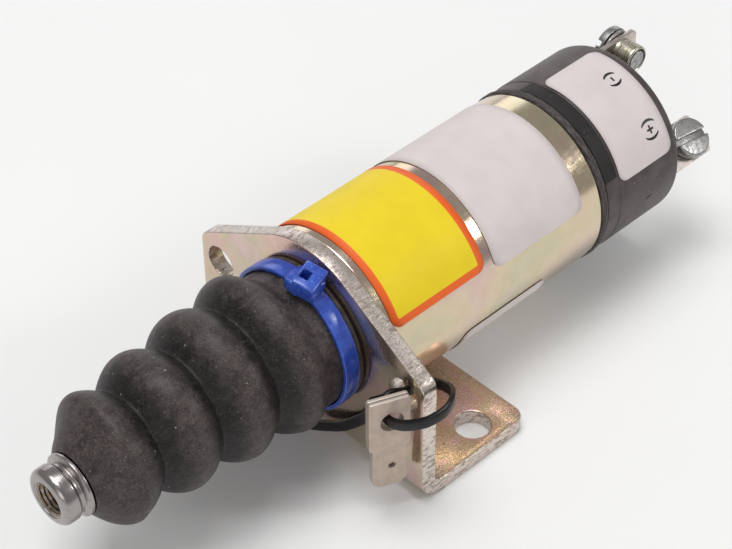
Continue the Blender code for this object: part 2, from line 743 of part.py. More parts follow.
def terminal(name, turn, seat, offset, centre, axis, cap):
    """A tab with a threaded bush, its screw and washer, and the slot in the cap that the tab comes out of."""
    place = frame_empty(f"terminal_frame_{name}", axis, rotation=(turn, 0, 0))
    root = CAP_REAR - TAB_ROOT
    end = CAP_REAR + TAB_END
    screw_x = CAP_REAR + SCREW_REACH
    half = TAB_WIDTH / 2
    hole = SCREW_SHANK_RADIUS + SEAT_GAP
    edge = [
        (root, -centre - half, 0),
        (end, -centre - half, TAB_CORNER),
        (end, -centre + half, TAB_CORNER),
        (root, -centre + half, 0),
    ]
    metal = FINISHES["tinned"]
    tab = flat(
        f"terminal_{name}",
        [filleted(edge, 4), arc((screw_x, -offset), hole, 0, 360 - 360 / SMALL, SMALL - 1)],
        TAB,
        metal,
        place,
    )
    tab.location = (0, 0, seat - TAB / 2)
    bush = turned(
        f"bush_{name}",
        [(-BUSH_HEIGHT, BUSH_RADIUS), (-TAB / 2, BUSH_RADIUS), (-TAB / 2, hole), (-BUSH_HEIGHT, hole)],
        None,
        place,
        SMALL,
        cutter=True,
    )
    bush.rotation_euler = (0, 0, 0)
    bush.location = (screw_x, -offset, seat)
    boolean(tab, bush, "UNION")

    washer = turned(
        f"lock_washer_{name}",
        ring_outline(SEAT_GAP, SEAT_GAP + WASHER, hole, WASHER_RADIUS),
        metal,
        place,
        SMALL,
    )
    washer.rotation_euler = (0, 0, 0)
    washer.location = (screw_x, -offset, seat)

    under_head = 2 * SEAT_GAP + WASHER
    screw = turned(
        f"terminal_screw_{name}",
        [
            (under_head - SCREW_LENGTH, 0),
            (under_head - SCREW_LENGTH, SCREW_SHANK_RADIUS),
            (under_head, SCREW_SHANK_RADIUS),
            (under_head, SCREW_HEAD_RADIUS),
            (under_head + SCREW_HEAD - 0.0004, SCREW_HEAD_RADIUS),
            (under_head + SCREW_HEAD, SCREW_HEAD_RADIUS - 0.0005),
            (under_head + SCREW_HEAD, 0),
        ],
        metal,
        place,
        COARSE,
    )
    screw.rotation_euler = (0, 0, 0)
    screw.location = (screw_x, -offset, seat)
    slot = box(
        f"screw_slot_{name}",
        (4 * SCREW_HEAD_RADIUS, SCREW_SLOT[0], 2 * SCREW_SLOT[1]),
        (screw_x, -offset, seat + under_head + SCREW_HEAD),
        place,
        cutter=True,
    )
    boolean(screw, slot)

    opening = box(
        f"tab_slot_{name}",
        (2 * TAB_ROOT, TAB_WIDTH + 2 * SEAT_GAP, TAB + 2 * SEAT_GAP),
        (CAP_REAR, -centre, seat - TAB / 2),
        place,
        cutter=True,
    )
    boolean(cap, opening)


def end_cap(axis):
    """The gasket and the moulded cap, hollow behind its spigot, with a post that seats the contact spring."""
    gasket_bore = POLE_RADIUS + SEAT_GAP
    turned(
        "cap_gasket",
        ring_outline(GASKET_FRONT, GASKET_FRONT + GASKET, gasket_bore, GASKET_RADIUS),
        FINISHES["gasket_rubber"],
        axis,
        FINE,
    )
    spigot_front = CAP_FRONT - CAP_SPIGOT
    spigot_bore = POLE_RADIUS - CAP_SPIGOT_WALL
    chamber = CAP_RADIUS - CAP_WALL
    floor = CAP_REAR - CAP_WALL
    post_front = CONTACT_SPRING_REAR + SEAT_GAP
    return turned(
        "end_cap",
        [
            (spigot_front, POLE_RADIUS),
            (CAP_FRONT, POLE_RADIUS),
            (CAP_FRONT, CAP_RADIUS),
            *arc((CAP_REAR - CAP_EDGE, CAP_RADIUS - CAP_EDGE), CAP_EDGE, 90, 0, 3),
            (CAP_REAR, 0),
            (post_front, 0),
            (post_front, CAP_POST_RADIUS),
            (floor, CAP_POST_RADIUS),
            (floor, chamber),
            (CAP_FRONT + CAP_WALL, chamber),
            (CAP_FRONT, spigot_bore),
            (spigot_front, spigot_bore),
        ],
        FINISHES["black_moulding"],
        axis,
        FINE,
    )


def switch(axis, slide):
    """The contacts that the plunger opens at the end of its stroke."""
    pin_hole = PIN_RADIUS + RUNNING_GAP
    turned(
        "switch_board",
        ring_outline(BOARD_FRONT, BOARD_REAR, pin_hole, BOARD_RADIUS),
        FINISHES["nylon"],
        axis,
        COARSE,
    )
    for number, sign in ((1, 1), (2, -1)):
        drum(
            f"fixed_contact_{number}",
            CONTACT_RADIUS,
            CONTACT_HEIGHT,
            (BOARD_REAR + SEAT_GAP + CONTACT_HEIGHT / 2, sign * CONTACT_OFFSET, 0),
            ALONG_X,
            axis,
            FINISHES["brass"],
        )
    turned(
        "push_pin",
        [
            (PIN_FRONT, 0),
            (PIN_FRONT, PIN_RADIUS),
            (BRIDGE_FRONT - SEAT_GAP, PIN_RADIUS),
            (BRIDGE_FRONT - SEAT_GAP, PIN_SPIGOT_RADIUS),
            (BRIDGE_REAR + PIN_SPIGOT, PIN_SPIGOT_RADIUS),
            (BRIDGE_REAR + PIN_SPIGOT, 0),
        ],
        FINISHES["nylon"],
        slide,
        SMALL,
    )
    middle = ((BRIDGE_FRONT + BRIDGE_REAR) / 2, 0, 0)
    bridge = box("contact_bridge", BRIDGE, middle, slide, FINISHES["copper"])
    drill(bridge, "bridge_hole", 2 * (PIN_SPIGOT_RADIUS + SEAT_GAP), middle, ALONG_X, axis, SMALL)
    helix(
        "contact_spring",
        CONTACT_SPRING_FRONT,
        CONTACT_SPRING_REAR,
        CONTACT_SPRING_RADIUS,
        CONTACT_SPRING_WIRE,
        CONTACT_SPRING_TURNS,
        CONTACT_SPRING_WIRE * 1.3,
        FINISHES["spring_steel"],
        axis,
        8,
    )


def label(name, front, rear, start, end, radius, axis):
    """A sticker: a thin sheet wrapped round the can between two turns, with rounded corners."""
    inner = radius + LABEL_GAP
    steps = max(6, round((end - start) / math.radians(8)))
    corner_steps = 3
    corner_turn = LABEL_CORNER / radius
    turns = []
    for i in range(corner_steps + 1):
        bend = math.pi / 2 * i / corner_steps
        turns.append((start + corner_turn * (1 - math.cos(bend)), LABEL_CORNER * (1 - math.sin(bend))))
    mirrored = [(start + end - turn, inset) for turn, inset in reversed(turns)]
    middle = []
    first = turns[-1][0]
    last = mirrored[0][0]
    for i in range(1, steps):
        middle.append((first + (last - first) * i / steps, 0.0))
    work = bmesh.new()
    rows = []
    for turn, inset in turns + middle + mirrored:
        y = -inner * math.sin(turn)
        z = inner * math.cos(turn)
        rows.append((work.verts.new((front + inset, y, z)), work.verts.new((rear - inset, y, z))))
    for before, after in zip(rows, rows[1:]):
        work.faces.new((before[0], after[0], after[1], before[1]))
    bmesh.ops.recalc_face_normals(work, faces=work.faces)
    mesh = bpy.data.meshes.new(name)
    work.to_mesh(mesh)
    work.free()
    obj = add(name, mesh, axis, FINISHES[name])
    wall = obj.modifiers.new("Wall", "SOLIDIFY")
    wall.thickness = LABEL
    wall.offset = 1


def adapter_outline():
    """One spade adapter in its own plane, hung from its top edge: a ring end and a chamfered tab below it."""
    ring_half = ADAPTER_RING[0] / 2
    tab_half = ADAPTER_TAB[0] / 2
    waist = -ADAPTER_RING[1]
    bottom = waist - ADAPTER_TAB[1]
    right = [
        (ring_half, 0, 0.0006),
        (ring_half, waist, 0.0006),
        (tab_half, waist, 0),
        (tab_half, bottom + ADAPTER_CHAMFER, 0),
        (tab_half - ADAPTER_CHAMFER, bottom, 0),
    ]
    left = [(-x, y, radius) for x, y, radius in reversed(right)]
    return filleted([*reversed(right), *reversed(left)], 3)


def spade_adapters(ear):
    """Two adapters, one behind the other, that hang on their tie."""
    place = frame_empty("adapter_frame", ear, ADAPTER_PLACE, (0, 0, ADAPTER_TURN))
    shift = ADAPTER_SHIFT
    hole = arc((shift, -ADAPTER_HOLE_DROP), ADAPTER_HOLE / 2, 0, 360 - 360 / SMALL, SMALL - 1)
    steps = 10
    dimple = arc((shift, -ADAPTER_DIMPLE_DROP), ADAPTER_DIMPLE / 2, 0, 360 - 360 / steps, steps - 1)
    for number, name in enumerate(("spade_adapter_outer", "spade_adapter_inner")):
        plate = flat(name, [adapter_outline(), hole, dimple], ADAPTER, FINISHES["tinned"], place)
        plate.rotation_euler = (math.pi / 2, 0, 0)
        plate.location = (0, ADAPTER / 2 + number * (ADAPTER + SEAT_GAP), 0)


def adapter_tie(ear):
    """A thin tie through the adapters and the ear's hole, round the flange's edge, with its head and tail."""
    profile = bpy.data.curves.new("tie_profile", "CURVE")
    profile.dimensions = "2D"
    half_thick = ADAPTER_TIE[0] / 2
    half_wide = ADAPTER_TIE[1] / 2
    corners = ((-1, -1), (1, -1), (1, 1), (-1, 1))
    outline = [(x * half_thick, y * half_wide) for x, y in corners]
    spline = profile.splines.new("POLY")
    spline.points.add(len(outline) - 1)
    for point, (x, y) in zip(spline.points, outline):
        point.co = (x, y, 0, 1)
    spline.use_cyclic_u = True
    section = add("tie_section", profile, ear, cutter=True)

    head = ADAPTER_TIE_HEAD_PLACE
    tie = tie_strap("adapter_tie", ADAPTER_TIE_LOOP, section, ear, FINISHES["black_nylon"])
    tail = tie_strap("adapter_tie_tail", ADAPTER_TIE_TAIL, section, ear, cutter=True)
    boolean(tie, tail, "UNION", crossing=True)
    block = box("adapter_tie_head", ADAPTER_TIE_HEAD, head, ear, cutter=True, bevel=0.0004)
    block.rotation_euler = (0, 0, ADAPTER_TURN)
    boolean(tie, block, "UNION", crossing=True)


def tie_strap(name, route, section, ear, material=None, cutter=False):
    """A strap of this section along a route."""
    curve = bpy.data.curves.new(name, "CURVE")
    curve.dimensions = "3D"
    curve.bevel_mode = "OBJECT"
    curve.bevel_object = section
    curve.use_fill_caps = True
    curve.twist_mode = "Z_UP"
    path = spline_through(route, 3)
    strap = curve.splines.new("POLY")
    strap.points.add(len(path) - 1)
    for point, place in zip(strap.points, path):
        point.co = (*place, 1)
    return meshed(name, curve, material, ear, cutter)


def spline_through(points, steps):
    """A smooth line through all the points, with this many steps between each two."""
    ends = [points[0], *points, points[-1]]
    line = []
    for a, b, c, d in zip(ends, ends[1:], ends[2:], ends[3:]):
        a, b, c, d = (Vector(p) for p in (a, b, c, d))
        for i in range(steps):
            t = i / steps
            bend = (2 * a - 5 * b + 4 * c - d) * t**2 + (3 * b - a - 3 * c + d) * t**3
            line.append(0.5 * (2 * b + (c - a) * t + bend))
    line.append(Vector(points[-1]))
    return line


for leftover in list(bpy.data.objects):
    bpy.data.objects.remove(leftover)

PARTS = collection("fuel_shutoff_solenoid")
CUTTERS = collection("cutters")
FINISHES = {
    name: finish(name, *values)
    for name, values in {
        "plating": ((0.62, 0.52, 0.42), 0.35, 0.9),
        "iron": ((0.5, 0.5, 0.5), 0.4, 1.0),
        "brass": ((0.75, 0.58, 0.28), 0.35, 1.0),
        "copper": ((0.72, 0.38, 0.22), 0.4, 1.0),
        "nylon": ((0.75, 0.73, 0.66), 0.5),
        "nickel": ((0.75, 0.73, 0.71), 0.15, 1.0),
        "rubber": ((0.03, 0.028, 0.027), 0.75),
        "gasket_rubber": ((0.05, 0.05, 0.05), 0.7),
        "black_moulding": ((0.05, 0.045, 0.05), 0.6),
        "blue_nylon": ((0.03, 0.09, 0.42), 0.35),
        "black_nylon": ((0.02, 0.02, 0.02), 0.35),
        "tinned": ((0.7, 0.68, 0.65), 0.3, 1.0),
        "spring_steel": ((0.55, 0.55, 0.56), 0.3, 1.0),
        "front_label": ((0.9, 0.68, 0.02), 0.5),
        "rear_label": ((0.8, 0.78, 0.78), 0.5),
        "under_label": ((0.8, 0.78, 0.78), 0.5),
        "polarity_label": ((0.8, 0.78, 0.78), 0.5),
    }.items()
}

solenoid_axis = frame_empty("solenoid_axis", location=(-FOOT_HOLE_REACH, 0, AXIS_HEIGHT))
plunger_slide = frame_empty("plunger_slide", solenoid_axis)
contact_slide = frame_empty("contact_slide", solenoid_axis)

mounting_bracket(solenoid_axis)
housing(solenoid_axis)
windings(solenoid_axis)
plunger(plunger_slide)
helix(
    "return_spring",
    TIP_SHOULDER_REAR + SEAT_GAP,
    -SPIGOT_REACH - SEAT_GAP,
    SPRING_MEAN_RADIUS,
    SPRING_WIRE,
    SPRING_TURNS,
    SPRING_CLOSED_PITCH,
    FINISHES["spring_steel"],
    solenoid_axis,
)
boot(solenoid_axis)
boot_tie(solenoid_axis)
switch(solenoid_axis, contact_slide)
cap_body = end_cap(solenoid_axis)
for terminal_name, turn, seat, offset, centre in TERMINALS:
    terminal(terminal_name, turn, seat, offset, centre, solenoid_axis, cap_body)
for label_name, label_front, label_rear, label_start, label_end in LABELS:
    carrier = CAP_RADIUS if label_front > CAP_FRONT else CAN_RADIUS
    label(label_name, label_front, label_rear, label_start, label_end, carrier, solenoid_axis)
ear = frame_empty("tied_ear", solenoid_axis, (0, -EAR_HOLE_OUT, 0))
spade_adapters(ear)
adapter_tie(ear)
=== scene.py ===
"""The looks of the fuel shutoff solenoid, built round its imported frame.

Places are worked out in millimetres from the flange's front face, with X along the solenoid's axis, and turns
are measured about that axis from the top towards the camera's side.
"""

import math

import bmesh
import bpy
from mathutils import Matrix, Vector, noise


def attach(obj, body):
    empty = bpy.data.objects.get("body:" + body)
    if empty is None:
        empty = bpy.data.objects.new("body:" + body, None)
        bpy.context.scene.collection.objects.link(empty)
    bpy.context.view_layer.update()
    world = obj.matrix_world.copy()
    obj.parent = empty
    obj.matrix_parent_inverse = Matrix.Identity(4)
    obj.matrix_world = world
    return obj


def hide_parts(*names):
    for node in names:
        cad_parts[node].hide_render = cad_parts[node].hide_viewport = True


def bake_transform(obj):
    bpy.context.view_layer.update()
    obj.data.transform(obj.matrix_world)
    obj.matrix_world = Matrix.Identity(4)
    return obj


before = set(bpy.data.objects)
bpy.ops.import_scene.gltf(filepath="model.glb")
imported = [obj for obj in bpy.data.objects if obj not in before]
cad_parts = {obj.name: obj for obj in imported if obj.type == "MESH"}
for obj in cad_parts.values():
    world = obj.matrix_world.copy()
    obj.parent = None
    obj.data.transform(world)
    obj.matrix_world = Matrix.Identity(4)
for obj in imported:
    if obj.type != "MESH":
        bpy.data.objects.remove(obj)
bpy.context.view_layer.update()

MM = 0.001
AXIS = Vector((-0.0196, 0.0, 0.026))
INTO_ROW = Matrix.Translation(AXIS) @ Matrix.Scale(MM, 4)

# Mounting bracket: each hole is its place, then its radius
PLATE = 3.4
FLANGE_HALF_WIDTH = 30.85
CROWN_RADIUS = 19.8
CROWN_SLOPE = math.radians(31)
AXIS_HEIGHT = 26.0
FOOT_REACH = 29.15
FOLD_RADIUS = 5.5
CORNER_RADIUS = 3.0
EAR_HOLE = (25.4, 3.55)
FOOT_HOLE = (19.6, 25.1, 3.65)
SPIGOT_HOLE = 10.4

# A torn edge faces sideways by more than the first, or along the plate's thickness by less than the second
SIDE_LEAN = 0.35
FACE_LEAN = 0.6

# Can and gasket: front, rear, bore's radius, radius
CAN = (3.6, 62.4, 17.25, 19.05)
GASKET = (62.6, 64.3, 17.25, 19.4)

# Cap: front, rear, radius; its spigot's front, bore's radius, radius; its post's front, radius
CAP = (64.5, 86.7, 19.2)
CAP_WALL = 2.6
CAP_SPIGOT = (61.2, 14.65, 17.05)
CAP_POST = (75.1, 3.2)

# The cap's step beside the gasket, by its end and depth, and a nick, by its place and turn
CAP_STEP = (68.0, 0.15)
CAP_NICK = (77.0, math.radians(96))

# Boot: the sizes of its tree
BOOT = {
    "Neck Front": -56.8,
    "Neck Radius": 6.4,
    "Dome": 7.06,
    "First Crest": -49.76,
    "First Radius": 12.9,
    "Last Crest": -11.9,
    "Last Radius": 16.8,
    "Pitch": 12.62,
    "Valley Depth": 3.7,
    "Cuff Front": -7.3,
    "Cuff Radius": 14.5,
    "Bead Front": -1.2,
    "Bead Radius": 15.4,
    "Rear": -0.4,
    "Sideways": 0.85,
    "Upwards": 0.3,
    "Dome Sideways": -0.45,
    "Dome Upwards": -0.3,
    "Dome Fullness": 1.35,
}
BOOT_WALL = 1.2

# Tip: its nose, its bore's radius and end, and its thread's pitch and depth
TIP_NOSE = -62.8
TIP_BORE = 3.2
TIP_BORE_END = -56.3
TIP_THREAD = (0.8, 0.34)

# Boot tie: its strap's front, rear, bore's radius and radius, and its locking head
STRAP = (-5.0, -1.4, 14.7, 15.65)
HEAD_TURN = math.radians(15.5)
HEAD_TWIST = math.radians(18)
HEAD_SIZE = (6.0, 4.6, 3.6)
HEAD_PLACE = (-3.9, 0.0, 19.8)

# Terminals: turn, seat, screw's offset, tab's centre; and each tab's root, end, width, thickness
TERMINALS = {
    "negative": (math.radians(-90), 6.0, 12.8, 11.6),
    "positive": (math.radians(36), 7.9, 11.6, 11.6),
}
TAB = (80.5, 99.3, 9.0, 1.0)
TAB_CORNER = 1.2
SCREW_X = 94.5
UPRIGHT = Matrix.Rotation(-math.pi / 2, 4, "Y")

# Each bush, washer and screw: heights above the seat, then radii; each thread: pitch and depth
BUSH = (-5.5, -0.6, 2.55, 3.1)
BUSH_THREAD = (0.62, 0.34)
WASHER = (0.2, 0.8, 2.6, 4.1)
SCREW_HEAD = (1.0, 2.9, 2.3, 4.3)
SCREW_SHANK = (-5.5, 1.2, 2.35)
SCREW_THREAD = (0.7, 0.3)
SCREW_SLOT = (14, 1.4, 2.6)
SLOT_TURN = {"negative": math.radians(32), "positive": math.radians(-7)}

# Labels: front, rear, first turn, last turn, carrier's radius
LABELS = {
    "front_label": (5.4, 29.8, math.radians(-58), math.radians(67.5), 19.05),
    "rear_label": (32.1, 57.2, math.radians(-64), math.radians(72), 19.05),
    "under_label": (24.0, 47.0, math.radians(107), math.radians(174), 19.05),
    "polarity_label": (68.4, 84.1, math.radians(-12), math.radians(72), 19.2),
}
SIGNS = ((math.radians(14.8), 79.8, 1.0, False), (math.radians(52.8), 80.0, 1.2, True))
LABEL_GAP = 0.1
LABEL_THICK = 0.15
LABEL_CORNER = 2.0

# Adapters and their tie: each hole is a place and a radius
ADAPTER_TURN = Matrix.Rotation(math.radians(-23.6), 4, "Z")
ADAPTER_PLACE = Matrix.Translation((-5.3, -27.3, 3.4)) @ ADAPTER_TURN
ADAPTER = 0.8
ADAPTER_GAP = 0.2
ADAPTER_HOLE = (0.5, -5.5, 2.3)
ADAPTER_DIMPLE = (0.5, -17.2, 0.75)
TIE_SECTION = (1.1, 2.3)
TIE_HEAD = (-4.7, -24.1, -0.4)
TIE_LOOP = (
    (-3.9, -24.3, 0.4),
    (-2.4, -24.4, 1.0),
    (0.4, -25.4, 0.4),
    (3.4, -25.8, 0.2),
    (6.2, -28.0, 0.4),
    (6.0, -31.8, 1.6),
    (3.6, -34.4, 2.6),
    (0.8, -35.2, 2.2),
    (-2.4, -33.8, 0.8),
    (-4.6, -30.7, -0.8),
    (-5.2, -27.8, -1.8),
    (-5.1, -25.6, -1.6),
    (-4.7, -24.3, -1.2),
)
TIE_TAIL = (
    (-4.7, -23.9, -0.4),
    (-5.0, -22.2, -2.4),
    (-3.6, -20.4, -6.0),
    (-2.4, -17.3, -10.6),
    (-2.2, -11.7, -16.8),
    (-2.2, -6.2, -21.0),
    (-2.2, -2.0, -23.8),
)

# Springs: front, rear, mean radius, wire, turns, closed pitch
RETURN_COIL = (-52.6, -9.7, 6.4, 1.1, 9, 1.3)
CONTACT_COIL = (64.4, 74.9, 2.2, 0.5, 6, 0.65)

# Studio, in metres: each light's place, size and power
LOOKED_AT = (0, 0, 0.025)
LIGHTS = {
    "top_softbox": ((-0.08, 0.08, 0.95), (0.55, 0.55), 5.4),
    "right_softbox": ((0.48, -0.55, 0.50), (0.18, 0.20), 1.15),
    "low_backdrop": ((0.66, 0.72, 0.27), (1.10, 0.38), 1.5),
    "front_fill": ((-0.70, -0.45, 0.35), (0.50, 0.40), 0.9),
}
SKY_STRENGTH = 0.34
FLOOR_REACH = 3.0
CAMERA_PLACE = (-0.2158, -0.2208, 0.3104)
CAMERA_RIGHT = Vector((0.71798, -0.69602, -0.00686))
CAMERA_UP = Vector((0.47451, 0.48221, 0.73642))
CAMERA_AHEAD = Vector((0.50926, 0.53199, -0.67649))
CAMERA_LENS = 105.95

# Points nearer than this are one, in a piece's own unit
MERGE_REACH = 0.0005


class Value:
    """A socket of a node tree that takes part in Python expressions."""

    def __init__(self, tree, socket=None):
        self.tree = tree
        self.socket = socket

    def node(self, kind, settings=None, inputs=None, output=0):
        """Adds a node: its settings first, then its sockets' values or links. Returns one of its outputs."""
        made = self.tree.nodes.new(kind)
        for name, value in (settings or {}).items():
            if name == "stops":
                stops = made.color_ramp.elements
                while len(stops) < len(value):
                    stops.new(0.5)
                for stop, (place, colour) in zip(stops, value):
                    stop.position = place
                    stop.color = (*colour, 1)
            else:
                setattr(made, name, value)
        for name, value in (inputs or {}).items():
            if isinstance(value, Value):
                self.tree.links.new(value.socket, made.inputs[name])
            else:
                made.inputs[name].default_value = value
        return Value(self.tree, made.outputs[output])

    def math(self, operation, *others):
        return self.node("ShaderNodeMath", {"operation": operation}, dict(enumerate((self, *others))))

    def __add__(self, other):
        return self.math("ADD", other)

    def __sub__(self, other):
        return self.math("SUBTRACT", other)

    def __rsub__(self, other):
        return self.node("ShaderNodeMath", {"operation": "SUBTRACT"}, {0: other, 1: self})

    def __mul__(self, other):
        return self.math("MULTIPLY", other)

    def __truediv__(self, other):
        return self.math("DIVIDE", other)

    def __pow__(self, other):
        return self.math("POWER", other)

    def __gt__(self, other):
        return self.math("GREATER_THAN", other)

    def __lt__(self, other):
        return self.math("LESS_THAN", other)

    __radd__ = __add__
    __rmul__ = __mul__


def ramped(value, low, high, low_value=0.0, high_value=1.0):
    """The value between low and high as a smooth share, or between two other values."""
    settings = {"interpolation_type": "SMOOTHSTEP"}
    sockets = {"Value": value, "From Min": low, "From Max": high, "To Min": low_value, "To Max": high_value}
    return value.node("ShaderNodeMapRange", settings, sockets)


def mixed(share, first, second):
    """Two colours mixed by a share."""
    first, second = (given if isinstance(given, Value) else (*given, 1) for given in (first, second))
    return share.node("ShaderNodeMix", {"data_type": "RGBA"}, {0: share, 6: first, 7: second}, 2)


def graded(value, *stops):
    """The value as a colour, through a ramp's stops of a place and a colour."""
    return value.node("ShaderNodeValToRGB", {"stops": stops}, {0: value})


class Finish:
    """A material in the making: its place in millimetres about the axis, its patterns and its shader."""

    def __init__(self, name):
        self.material = bpy.data.materials.new(name)
        self.material.use_nodes = True
        self.tree = self.material.node_tree
        self.shader = self.tree.nodes["Principled BSDF"]
        start = Value(self.tree)
        place = start.node("ShaderNodeTexCoord", output=3)
        shifted = place.node("ShaderNodeVectorMath", {"operation": "SUBTRACT"}, {0: place, 1: AXIS})
        scaled = {0: shifted, "Scale": 1 / MM}
        self.place = place.node("ShaderNodeVectorMath", {"operation": "SCALE"}, scaled)
        self.x, self.y, self.z = self.parts(self.place)

    @staticmethod
    def parts(place):
        """The three numbers of a place."""
        return [place.node("ShaderNodeSeparateXYZ", None, {0: place}, i) for i in range(3)]

    def mark(self, attribute):
        """A share from 0 to 1 that the mesh carries."""
        return self.x.node("ShaderNodeAttribute", {"attribute_name": attribute}, output=2)

    def about_axis(self):
        """The radius from the axis, and the turn about it in radians."""
        radius = (self.y * self.y + self.z * self.z) ** 0.5
        turn = (0 - self.y).math("ARCTAN2", self.z)
        return radius, turn

    def rolled_out(self, radius=19.0):
        """The place on a sheet unrolled from the axis: along, round and out, in millimetres."""
        distance, turn = self.about_axis()
        return self.x.node("ShaderNodeCombineXYZ", None, {0: self.x, 1: turn * radius, 2: distance})

    def noise(self, scale, detail=3.0, roughness=0.55, place=None, stretch=(1, 1, 1)):
        """Cloudy noise from 0 to 1, with its scale per millimetre and a stretch for each direction."""
        place = place or self.place
        if stretch != (1, 1, 1):
            place = place.node("ShaderNodeVectorMath", {"operation": "MULTIPLY"}, {0: place, 1: stretch})
        sockets = {"Vector": place, "Scale": scale, "Detail": detail, "Roughness": roughness}
        return place.node("ShaderNodeTexNoise", None, sockets)

    def worn(self, colour, share, over, low, high, *pattern):
        """The colour under another one, at this share where a noise passes from low to high."""
        return mixed(ramped(self.noise(*pattern), low, high) * share, colour, over)

    def specks(self, scale, size, amount):
        """Small spots: cells of a random share of a pattern, each a dot of this size."""
        cells = (None, {"Vector": self.place, "Scale": scale})
        distance = self.place.node("ShaderNodeTexVoronoi", *cells)
        chosen = self.place.node("ShaderNodeTexVoronoi", *cells, 1)
        pick = chosen.node("ShaderNodeSeparateColor", None, {0: chosen})
        return ramped(distance, size, size * 0.5) * (pick < amount)

    def bump(self, height, depth, strength):
        """A normal from a height from 0 to 1, with its depth in millimetres."""
        sockets = {"Height": height, "Distance": depth * MM, "Strength": strength}
        return height.node("ShaderNodeBump", None, sockets)

    def done(self, **sockets):
        """Sets the shader's sockets and gives back the material."""
        for name, value in sockets.items():
            socket = self.shader.inputs[name.replace("_", " ")]
            if isinstance(value, Value):
                self.tree.links.new(value.socket, socket)
            elif isinstance(value, tuple):
                socket.default_value = (*value, 1)
            else:
                socket.default_value = value
        return self.material


def zinc_plating(name, rolled):
    """Yellow-zinc plating: clouds of gold, olive and rose, fine scratches, and bare bright sheared edges."""
    skin = Finish(name)
    place = skin.rolled_out() if rolled else skin.place
    clouds = skin.noise(0.05, 3.0, 0.5, place, (1, 1.6, 1.6))
    tint = graded(
        clouds,
        (0.32, (0.66, 0.49, 0.43) if rolled else (0.68, 0.46, 0.42)),
        (0.43, (0.68, 0.55, 0.39) if rolled else (0.70, 0.50, 0.41)),
        (0.51, (0.64, 0.55, 0.36) if rolled else (0.67, 0.52, 0.38)),
        (0.59, (0.58, 0.53, 0.37) if rolled else (0.60, 0.51, 0.38)),
        (0.69, (0.66, 0.50, 0.44) if rolled else (0.70, 0.51, 0.47)),
    )
    blotches = ramped(skin.noise(0.35, 4.0, 0.6, place), 0.35, 0.7)
    tint = mixed(blotches * 0.22, tint, (0.78, 0.70, 0.62))
    grain = skin.noise(2.2, 3.0, 0.6, place, (0.18, 1, 1) if rolled else (1, 1, 0.5))
    scratch = (1.1, 2.0, 0.7, place, (0.12, 2.4, 2.4))
    tint = skin.worn(tint, 0.35, (0.82, 0.77, 0.70), 0.66, 0.72, *scratch)
    height = grain * 0.5 + skin.noise(0.9, 4.0, 0.6, place) * 0.7
    if rolled:
        peel = skin.noise(3.4, 4.0, 0.7, place)
        pits = ramped(peel, 0.60, 0.70) * ramped(skin.noise(0.25, 2.0, 0.5, place), 0.40, 0.62)
        colour = mixed(pits * 0.45, tint, (0.30, 0.26, 0.22))
        normal = skin.bump(height * 0.6 + peel * 0.8, 0.03, 0.30)
        rough = ramped(grain, 0.3, 0.75, 0.10, 0.20) + blotches * 0.05
    else:
        on_foot = ramped(skin.z, -20.0, -23.0) * ramped(skin.x, 4.0, 9.0)
        patched = graded(
            skin.noise(0.11, 4.0, 0.6),
            (0.36, (0.74, 0.48, 0.46)),
            (0.47, (0.76, 0.49, 0.35)),
            (0.54, (0.65, 0.53, 0.32)),
            (0.64, (0.74, 0.47, 0.46)),
        )
        freckle = ramped(skin.noise(1.6, 4.0, 0.7), 0.46, 0.66)
        patched = mixed(freckle * 0.35, patched, (0.50, 0.34, 0.30))
        tint = mixed(on_foot * 0.75, tint, patched)
        edge = skin.mark("sheared")
        torn = skin.noise(1.0, 6.0, 0.75, None, (0.5, 1.4, 1.4))
        chips = ramped(torn, 0.49, 0.60)
        bare = mixed(chips * 0.9, (0.70, 0.64, 0.60), (0.19, 0.15, 0.13))
        colour = mixed(edge * 0.8, tint, bare)
        rough = ramped(grain, 0.3, 0.75, 0.15, 0.28) + edge * ramped(torn, 0.35, 0.65, 0.02, 0.22)
        rough = rough + on_foot * (1 - edge) * ramped(freckle, 0.0, 1.0, 0.06, 0.16)
        normal = skin.bump(height * (1 - edge) * 0.35 + torn * edge, 0.10, 0.6)
    return skin.done(Base_Color=colour, Metallic=0.95, Roughness=rough, Normal=normal)


def boot_rubber():
    """Matt black rubber: dusty and grained on the crests, near black in the folds as painted shade, with
    painted light on the crests and white specks.
    """
    skin = Finish("boot_rubber")
    grain = skin.noise(5.5, 3.0, 0.7)
    fine = skin.noise(1.9, 4.0, 0.65)
    coarse = skin.noise(0.28, 3.0, 0.55)
    # The crest share paints light and shade: crests lighter and folds near black, over real dust and bloom
    # that gather on the crests.
    worn = ramped(skin.mark("crest") * 0.75 + coarse * 0.7, 0.45, 1.15)
    colour = mixed(worn, (0.006, 0.0045, 0.0045), (0.040, 0.031, 0.030))
    bloom = ramped(fine, 0.42, 0.70) * (0.25 + 0.65 * worn)
    patches = ramped(skin.noise(0.55, 4.0, 0.65), 0.42, 0.62)
    colour = mixed(bloom * ramped(coarse, 0.25, 0.65, 0.3, 1.0), colour, (0.100, 0.081, 0.077))
    colour = mixed(patches * 0.3 * (0.3 + 0.7 * worn), colour, (0.120, 0.099, 0.094))
    colour = mixed(ramped(grain, 0.52, 0.70) * (0.15 + 0.5 * worn), colour, (0.185, 0.156, 0.148))
    colour = mixed(ramped(grain, 0.48, 0.32) * 0.65, colour, (0.007, 0.005, 0.005))
    dust = skin.specks(1.0, 0.17, 0.05) + skin.specks(2.2, 0.24, 0.10) * 0.45
    dust = dust + skin.specks(0.42, 0.12, 0.10)
    colour = mixed(dust.math("MINIMUM", 0.65), colour, (0.40, 0.37, 0.34))
    roughness = ramped(fine, 0.3, 0.7, 0.38, 0.54)
    height = grain * 0.35 + fine * 0.5 + coarse * 0.3 + dust * 0.3
    normal = skin.bump(height, 0.13, 0.6)
    return skin.done(Base_Color=colour, Roughness=roughness, Normal=normal, Specular_IOR_Level=0.28)


